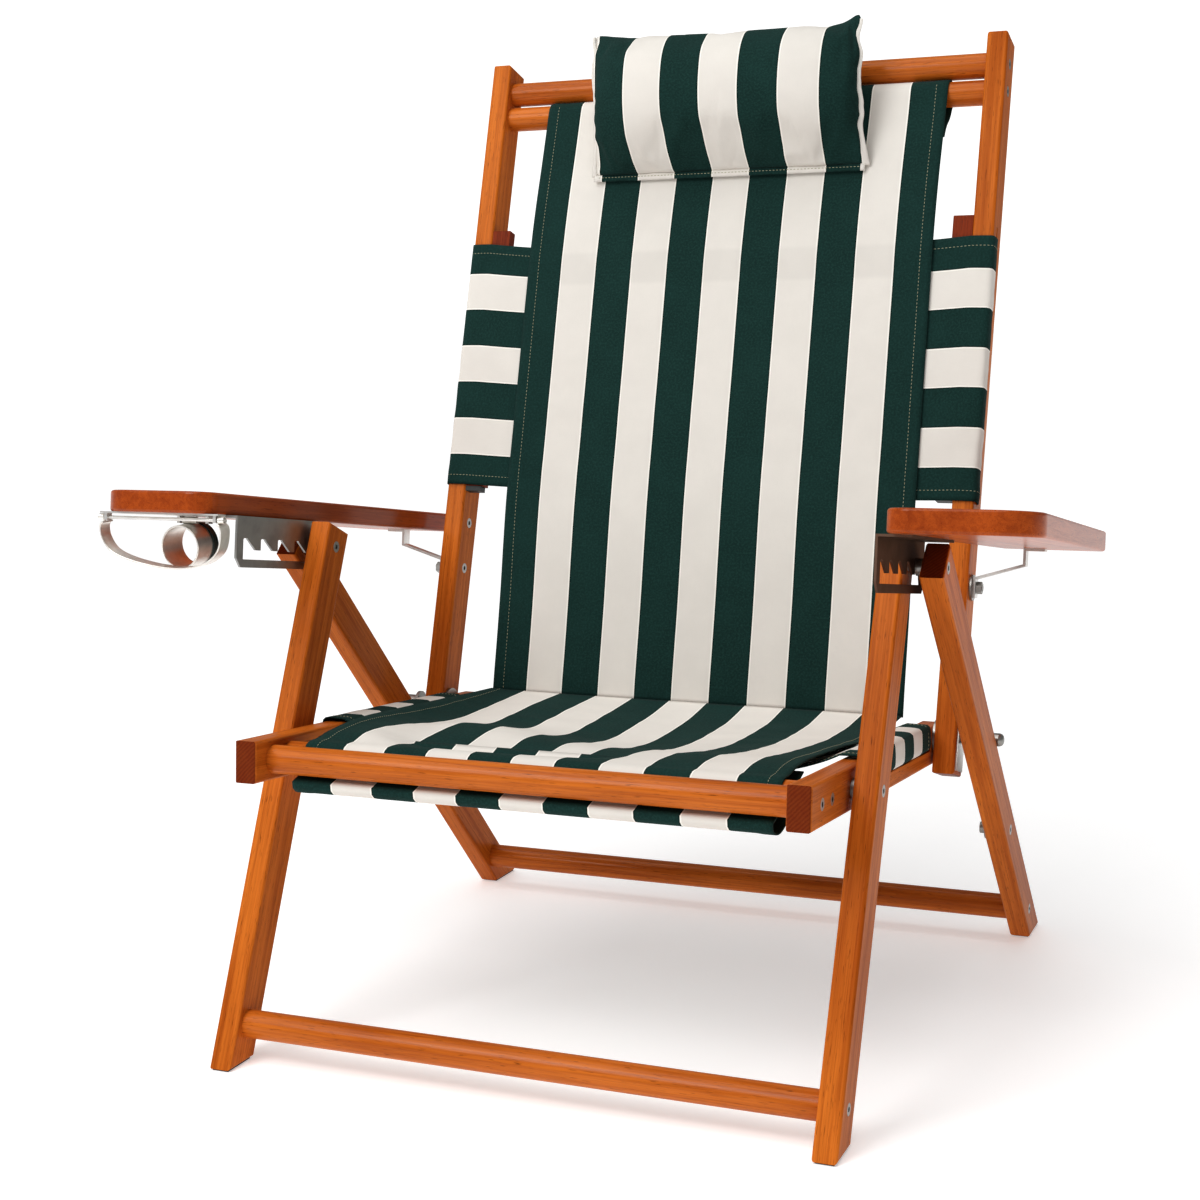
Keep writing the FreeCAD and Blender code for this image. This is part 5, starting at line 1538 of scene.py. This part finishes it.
@dataclass
class HeadPillow:
    """The striped pillow: a front panel that turns over the crown, a cream back, and sewn edges.

    The two panels meet in a line at each side, which runs from the foot up to a pointed ear. A cloth
    simulation fills the pillow between its held seams, so that the cloth puckers beside them. Left and
    right are the sides of the view from the front. A share runs from 0 at the foot to 1 at the ear.

    Attributes:
        left: left edge across the chair.
        right: right edge.
        pitch: width of a stripe.
        start: where the first stripe begins.
        columns: columns of each panel.
        turns: rows of each panel.
        frames: length of the filling.
        cap: how far it may move the cloth.
        foot: the lower seam in the side view.
        ear: tip of the right ear in the side view.
        left_ear: tip of the left ear.
        bow: how far a side seam bows towards the sitter.
        wander: height of the side seams' long waves.
        ripple: height of their short ones.
        nip: how far a side seam is drawn in below its ear.
        foot_flare: how far a side seam spreads near the foot.
        left_flare: how far the left seam spreads near its ear.
        left_lift: how far the crown rises near the left ear.
        right_lift: how far it rises near the right ear.
        drawn_up: how far the cloth beside the right ear is drawn up and forwards.
        cloth_high: height of a panel on its flat pattern, in metres.
        front: side view of the front panel in the middle.
        back: side view of the back panel.
        flange: side view of the flat edge under the foot.
        tabs: how far the flat edge reaches past the left and the right edge.
        seam_row: place of the stitches on the flat edge.
    """

    left: float = -135.0
    right: float = 137.5
    pitch: float = 39.0
    start: float = -130.5
    columns: int = 92
    turns: int = 30
    frames: int = 16
    cap: float = 5.0
    foot: Point = (540.0, 21.4)
    ear: Point = (670.5, 59.5)
    left_ear: Point = (672.5, 57.5)
    bow: float = 9.0
    wander: float = 2.0
    ripple: float = 1.5
    nip: float = 2.6
    foot_flare: float = 3.0
    left_flare: float = 4.0
    left_lift: float = 6.2
    right_lift: float = 4.2
    drawn_up: Point = (3.0, 4.0)
    cloth_high: float = 0.19
    front: tuple[Point, ...] = ((540.0, 21.4), (540.6, 27.0), (544.6, 36.0), (552.5, 48.5), (563.0, 59.5),
                                (577.0, 69.0), (597.0, 76.5), (620.0, 80.0), (640.0, 79.5), (653.0, 75.0),
                                (662.0, 66.0), (667.0, 55.0), (668.5, 43.0))
    back: tuple[Point, ...] = ((540.0, 21.4), (546.0, 20.0), (560.0, 19.4), (615.0, 19.4), (640.0, 19.8),
                               (656.0, 23.5), (665.5, 31.5), (668.5, 43.0))
    flange: tuple[Point, ...] = ((541.6, 21.0), (539.0, 21.9), (536.6, 22.0), (534.4, 21.2))
    tabs: Point = (3.6, 4.0)
    seam_row: Point = (537.9, 23.25)

    def line(self, share: float, sign: int = 1) -> Point:
        """Side view of the line in which the panels meet at one side.

        Args:
            share: place from the foot to the ear.
            sign: -1 for the left side, 1 for the right.

        Returns:
            Distance along the back and towards the sitter.
        """
        ear = self.ear if sign > 0 else self.left_ear
        bend = self.bow * math.sin(math.pi * share) ** 0.8
        along = self.foot[0] + (ear[0] - self.foot[0]) * share
        return along, self.foot[1] + (ear[1] - self.foot[1]) * share + bend

    def side(self, sign: int, share: float, out: float = 0.0) -> Vector:
        """A point of a side seam.

        Args:
            sign: -1 for the left side, 1 for the right.
            share: place from the foot to the ear.
            out: distance beyond the seam.

        Returns:
            The point in metres.
        """
        edge = self.right if sign > 0 else self.left
        wave = noise.noise(Vector((share * 7.5, 2.0 * sign, 0.4)))
        ripple = noise.noise(Vector((share * 17.0, 5.0 * sign, 0.9)))
        mid = math.sin(math.pi * share)
        inward = self.wander * mid * wave + self.ripple * mid * ripple + self.nip * bump_at(share, 0.86, 0.12)
        spread = self.left_flare * rise(share, 0.5, 0.9) if sign < 0 else 0.0
        inward -= self.foot_flare * rise(0.25 - share, 0.0, 0.25) + spread
        along, across = self.line(share, sign)
        shift = out * (1.0 + 0.25 * ripple)
        return BACK.place(edge - sign * (inward - shift), along, across + 2.2 * mid * wave - 0.35 * out)

    def crown_lift(self, u: float, share: float) -> Vector:
        """How far the crown rises towards both ears, which draw the cloth up.

        Args:
            u: place across the pillow, from -1 to 1.
            share: place from the foot to the ear.

        Returns:
            The shift in metres.
        """
        upper = rise(share, 0.62, 0.96)
        left = self.left_lift * rise(-u, 0.0, 0.76) * (1.0 - rise(-u, 0.97, 1.0))
        right = self.right_lift * rise(u, 0.35, 0.78) * (1.0 - rise(u, 0.97, 1.0))
        drawn = rise(u, 0.72, 1.0) * rise(share, 0.80, 1.0) * (1.0 - rise(u, 0.97, 1.0))
        up, forward = (most * drawn for most in self.drawn_up)
        return BACK.place(0.0, (left + right) * upper + up, forward) - BACK.place(0.0, 0.0, 0.0)

    def cloth_point(self, u: float, share: float, form: Point) -> Vector:
        """A point of a panel, which is full in the middle and ends in the side seams.

        Args:
            u: place across the pillow, from -1 to 1.
            share: place from the foot to the ear.
            form: the panel's side view there.

        Returns:
            The point in metres.
        """
        sign = 1 if u > 0 else -1
        near = self.side(sign, share)
        if abs(u) == 1.0:
            return near
        full = (1.0 - abs(u) ** 5) ** 0.62
        x = self.left + (self.right - self.left) * (u + 1.0) / 2.0
        seam = self.line(share)
        plain = BACK.place(x, seam[0] + (form[0] - seam[0]) * full, seam[1] + (form[1] - seam[1]) * full)
        rim = BACK.place(self.right if u > 0 else self.left, *seam)
        return plain + (near - rim) * abs(u) ** 9 + self.crown_lift(u, share)

    def panels(self) -> tuple[bpy.types.Object, list[float]]:
        """Both panels in one closed mesh.

        Returns:
            The mesh, and how firmly each of its vertices is held.
        """
        forms = [smooth_path(self.front, 1.0), smooth_path(self.back, 1.0)]
        verts: list[Vector] = []
        spots: list[Point] = []
        hold: list[float] = []
        lining: list[float] = []
        index: dict[tuple[int, int], int] = {}
        around = [(0, i / self.turns) for i in range(self.turns + 1)]
        around += [(1, 1.0 - i / self.turns) for i in range(1, self.turns)]
        for ring, (panel, share) in enumerate(around):
            form = share_of(forms[panel], share)
            for c in range(self.columns + 1):
                edge = c in (0, self.columns)
                if edge and panel:
                    index[(ring, c)] = index[(2 * self.turns - ring, c)]
                    continue
                u = 2.0 * c / self.columns - 1.0
                x = self.left + (self.right - self.left) * (u + 1.0) / 2.0
                index[(ring, c)] = len(verts)
                verts.append(self.cloth_point(u, share, form))
                leaning = 0.8 if panel and abs(u) < 0.97 and share < 0.8 else 0.0
                hold.append(1.0 if edge or ring == 0 else leaning)
                lining.append(1.0 if ring > self.turns + 2 else 0.0)
                spots.append(((x - self.start) * MM, share * self.cloth_high))
        faces: list[tuple[int, ...]] = []
        for ring in range(len(around)):
            after = (ring + 1) % len(around)
            for c in range(self.columns):
                corners = (index[(ring, c)], index[(ring, c + 1)], index[(after, c + 1)], index[(after, c)])
                corners = tuple(dict.fromkeys(corners))
                if len(corners) > 2:
                    faces.append(corners)
        piece = mesh_piece("head_pillow", verts, faces, spots)
        piece.data.attributes.new("lining", "FLOAT", "POINT").data.foreach_set("value", lining)
        return piece, hold

    def fill(self, piece: bpy.types.Object, hold: list[float]) -> None:
        """Fills the pillow by pressure between its held seams, and keeps the result in its mesh.

        Args:
            piece: the closed panels.
            hold: how firmly each vertex is held.
        """
        count = len(piece.data.vertices)
        before = np.empty(count * 3)
        piece.data.vertices.foreach_get("co", before)
        group = piece.vertex_groups.new(name="held")
        for number, weight in enumerate(hold):
            if weight > 0.0:
                group.add([number], weight, "REPLACE")
        cloth = piece.modifiers.new("fill", "CLOTH")
        settings = cloth.settings
        settings.quality = 7
        settings.mass = 0.25
        settings.tension_stiffness = 25.0
        settings.compression_stiffness = 25.0
        settings.shear_stiffness = 8.0
        settings.bending_stiffness = 0.25
        settings.use_pressure = True
        settings.uniform_pressure_force = 3.0
        settings.shrink_min = -0.035
        settings.vertex_group_mass = "held"
        settings.pin_stiffness = 4.0
        settings.effector_weights.gravity = 0.0
        cloth.point_cache.frame_start = 1
        cloth.point_cache.frame_end = self.frames
        scene = bpy.context.scene
        for number in range(1, self.frames + 1):
            scene.frame_set(number)
        graph = bpy.context.evaluated_depsgraph_get()
        shown = piece.evaluated_get(graph)
        after = np.empty(count * 3)
        shown.to_mesh().vertices.foreach_get("co", after)
        shown.to_mesh_clear()
        piece.modifiers.remove(cloth)
        piece.vertex_groups.clear()
        scene.frame_set(1)
        move = (after - before).reshape(-1, 3)
        size = np.linalg.norm(move, axis=1, keepdims=True)
        limit = self.cap * MM
        move *= limit * np.tanh(size / limit) / np.maximum(size, 1e-9)
        piece.data.vertices.foreach_set("co", (before.reshape(-1, 3) + move).ravel())
        piece.data.update()

    def welt(self, sign: int) -> bpy.types.Object:
        """The cream seam allowance along one side.

        Args:
            sign: -1 for the left side, 1 for the right.

        Returns:
            The welt.
        """
        name = "pillow_welt_right" if sign > 0 else "pillow_welt_left"
        count = 90
        rows, spots = [], []
        for i in range(count + 1):
            share = i / count
            wide = 4.4 - 3.0 * share if sign > 0 else 2.6 - 1.6 * share
            wide += 1.5 * rise(0.1 - share, 0.0, 0.1)
            rows.append([self.side(sign, share, out) for out in (-1.6, 0.4, wide * 0.6, wide)])
            spots.append([(0.002 * j, share * 0.15) for j in range(4)])
        return thickened(cloth_grid(name, rows, spots), 1.3)

    def flat_edge(self) -> bpy.types.Object:
        """The flat sewn edge under the foot, with a cream tab at each end.

        Returns:
            The edge.
        """
        low, high = self.left - self.tabs[0], self.right + self.tabs[1]
        count = 140
        rows, spots = [], []
        for i in range(count + 1):
            x = low + (high - low) * i / count
            sag = 0.35 * noise.noise(Vector((x * 0.05, 0.0, 8.0)))
            rows.append([BACK.place(x, along + sag, across) for along, across in self.flange])
            spots.append([((x - self.start) * MM, 0.002 * j) for j in range(len(self.flange))])
        return thickened(cloth_grid("pillow_flange", rows, spots), 2.2)

    def build(self, thread: bpy.types.Material) -> None:
        """Makes the pillow with its edges.

        Args:
            thread: finish of the stitches.
        """
        cut = (self.left + 1.0 - self.start, self.right - self.start)
        stripes = Canvas("pillow_canvas", self.pitch, cut=cut)
        piece, hold = self.panels()
        self.fill(piece, hold)
        smooth = piece.modifiers.new("smooth", "SUBSURF")
        smooth.levels = smooth.render_levels = 1
        piece = baked(piece)
        piece.data.shade_smooth()
        dress(piece, Canvas("pillow_cloth", self.pitch, lining="lining").make())
        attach(piece, "back_frame")
        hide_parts("pillow")
        cream = Canvas("pillow_cream", 1000.0, start=-1001.0).make()
        edges = [(self.welt(-1), cream), (self.welt(1), cream), (self.flat_edge(), stripes.make())]
        row = [BACK.place(x, *self.seam_row) for x in np.linspace(self.left + 2.0, self.right - 2.0, 60)]
        Seam("pillow_stitches", thread, lines=[row]).build("back_frame")
        for edge, finish in edges:
            dress(edge, finish)
            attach(edge, "back_frame")
        LOG.info("head pillow filled and edged")


# Studio


@dataclass(frozen=True)
class View:
    """The photograph's camera.

    Attributes:
        place: where it stands, in metres.
        yaw: turn to the left from straight ahead, in degrees.
        pitch: fall of its line, in degrees.
        roll: turn about its line, in degrees.
        focal: focal length in pixels of the photograph.
        frame: width of the photograph in pixels.
        sensor: width of the camera's sensor in millimetres.
    """

    place: Triple = (0.6483, -1.6441, 0.6204)
    yaw: float = 22.787
    pitch: float = 8.202
    roll: float = -0.911
    focal: float = 1972.1
    frame: float = 1200.0
    sensor: float = 36.0

    def build(self) -> None:
        """Sets the camera up."""
        yaw, pitch, roll = (math.radians(v) for v in (self.yaw, self.pitch, self.roll))
        right = Vector((math.cos(yaw), math.sin(yaw), 0.0))
        ahead = Vector((-math.sin(yaw) * math.cos(pitch), math.cos(yaw) * math.cos(pitch), -math.sin(pitch)))
        up = right.cross(ahead)
        turned = right * math.cos(roll) + up * math.sin(roll)
        upright = up * math.cos(roll) - right * math.sin(roll)
        data = bpy.data.cameras.new("photo_view")
        data.sensor_width = self.sensor
        data.lens = self.sensor * self.focal / self.frame
        data.dof.use_dof = False
        camera = bpy.data.objects.new("photo_view", data)
        turn = Matrix((turned, upright, -ahead)).transposed()
        camera.matrix_world = Matrix.Translation(Vector(self.place)) @ turn.to_4x4()
        scene = bpy.context.scene
        scene.collection.objects.link(camera)
        scene.camera = camera
        scene.view_settings.view_transform = "Standard"
        scene.view_settings.look = "Medium High Contrast"


@dataclass(frozen=True)
class Lamp:
    """A soft box.

    Attributes:
        name: its name.
        place: where it hangs, in metres.
        size: its width in metres.
        power: its power in watts.
    """

    name: str
    place: Triple
    size: float
    power: float

    def build(self, aim: Vector) -> None:
        """Hangs the lamp.

        Args:
            aim: the point that it faces.
        """
        data = bpy.data.lights.new(self.name, "AREA")
        data.shape = "SQUARE"
        data.size = self.size
        data.energy = self.power
        lamp = bpy.data.objects.new(self.name, data)
        lamp.location = self.place
        lamp.rotation_euler = (aim - Vector(self.place)).to_track_quat("-Z", "Y").to_euler()
        bpy.context.scene.collection.objects.link(lamp)


@dataclass
class Studio:
    """Pale floor, soft box, wide sun, and a white room that is dimmer for the light that it throws.

    Attributes:
        reach: half the floor's width in metres.
        sky: strength of the room as it is seen.
        sky_diffuse: strength of the light that it throws.
        sky_glossy: strength of its reflection.
        sun: strength of the sun.
        sun_width: angle that the sun fills, in degrees.
        sun_from: direction towards the sun.
        floor_low: darker colour of the floor.
        floor_high: lighter colour of the floor.
        floor_glow: strength of the floor's own light.
        aim: the point that the lamps face, in metres.
        lamps: the soft boxes.
    """

    reach: float = 60.0
    sky: float = 1.0
    sky_diffuse: float = 0.21
    sky_glossy: float = 0.30
    sun: float = 1.42
    sun_width: float = 60.0
    sun_from: Triple = (-0.20, -0.45, 1.50)
    floor_low: Colour = (0.86, 0.86, 0.86)
    floor_high: Colour = (0.89, 0.89, 0.89)
    floor_glow: float = 0.34
    aim: Triple = (0.0, 0.0, 0.4)
    lamps: tuple[Lamp, ...] = (Lamp("key", (-1.0, -2.1, 2.1), 1.3, 27.0),)

    def light_world(self) -> None:
        """Makes the white room, with its own strength for what is seen, mirrored and lit."""
        world = bpy.data.worlds.new("white_room")
        world.use_nodes = True
        world.node_tree.nodes.clear()
        bench = Bench(world.node_tree)
        ray = bench.add("ShaderNodeLightPath")
        seen = Value(bench.tree, ray.outputs["Is Camera Ray"])
        mirrored = Value(bench.tree, ray.outputs["Is Glossy Ray"])
        thrown = mirrored * (self.sky_glossy - self.sky_diffuse) + self.sky_diffuse
        strength = (1.0 - seen) * thrown + seen * self.sky
        glow = bench.add("ShaderNodeBackground", None, Color=(1.0, 1.0, 1.0), Strength=strength)
        bench.add("ShaderNodeOutputWorld", None, Surface=glow.outputs["Background"])
        bpy.context.scene.world = world

    def build(self) -> None:
        """Lays the floor, hangs the lamps and lights the world."""
        r = Recipe("pale_floor")
        spots = r.add("ShaderNodeTexCoord").outputs["Object"]
        cloud = r.noise(spots, 1.5, 2.0)
        floor_paint = r.finish(Base_Color=r.mix(cloud, self.floor_low, self.floor_high), Roughness=0.6,
                               Specular_IOR_Level=0.2, Emission_Color=(1.0, 1.0, 1.0),
                               Emission_Strength=self.floor_glow)
        corners = [Vector((x, y, 0.0)) * self.reach for x, y in ((-1, -1), (1, -1), (1, 1), (-1, 1))]
        floor = mesh_piece("studio_floor", corners, [(0, 1, 2, 3)])
        dress(floor, floor_paint)
        for lamp in self.lamps:
            lamp.build(Vector(self.aim))
        self.light_world()
        sun = bpy.data.lights.new("soft_sun", "SUN")
        sun.energy = self.sun
        sun.angle = math.radians(self.sun_width)
        lamp = bpy.data.objects.new("soft_sun", sun)
        lamp.rotation_euler = (-Vector(self.sun_from)).to_track_quat("-Z", "Y").to_euler()
        bpy.context.scene.collection.objects.link(lamp)
        LOG.info("studio set")


def main() -> None:
    """Builds the chair's looks in order."""
    logging.basicConfig(level=logging.INFO, format="%(name)s: %(message)s")
    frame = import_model()
    nodes = frame["nodes"]
    Woodwork().dress(nodes)
    Hardware().dress(nodes)
    thread = Thread("olive_thread", (0.44, 0.42, 0.29)).make()
    SideBand("side_band_back", "back_band", "back_frame", BACK, low=218.0, high=470.0, outer=269.0,
             inner=249.0, groove=2.0, sag=0.0, dip=12.0, skew=0.0125, pitch=37.9, start=-6.9).build(thread)
    SideBand("side_band_seat", "seat_band", "seat_frame", SEAT, low=32.0, high=256.0, outer=246.5,
             inner=226.5, groove=-2.0, sag=26.0, front=20.3, pucker=0.3).build(thread)
    GlassHolder().build()
    Sling().build(thread)
    HeadPillow().build(thread)
    Studio().build()
    View().build()


if __name__ == "__main__":
    main()
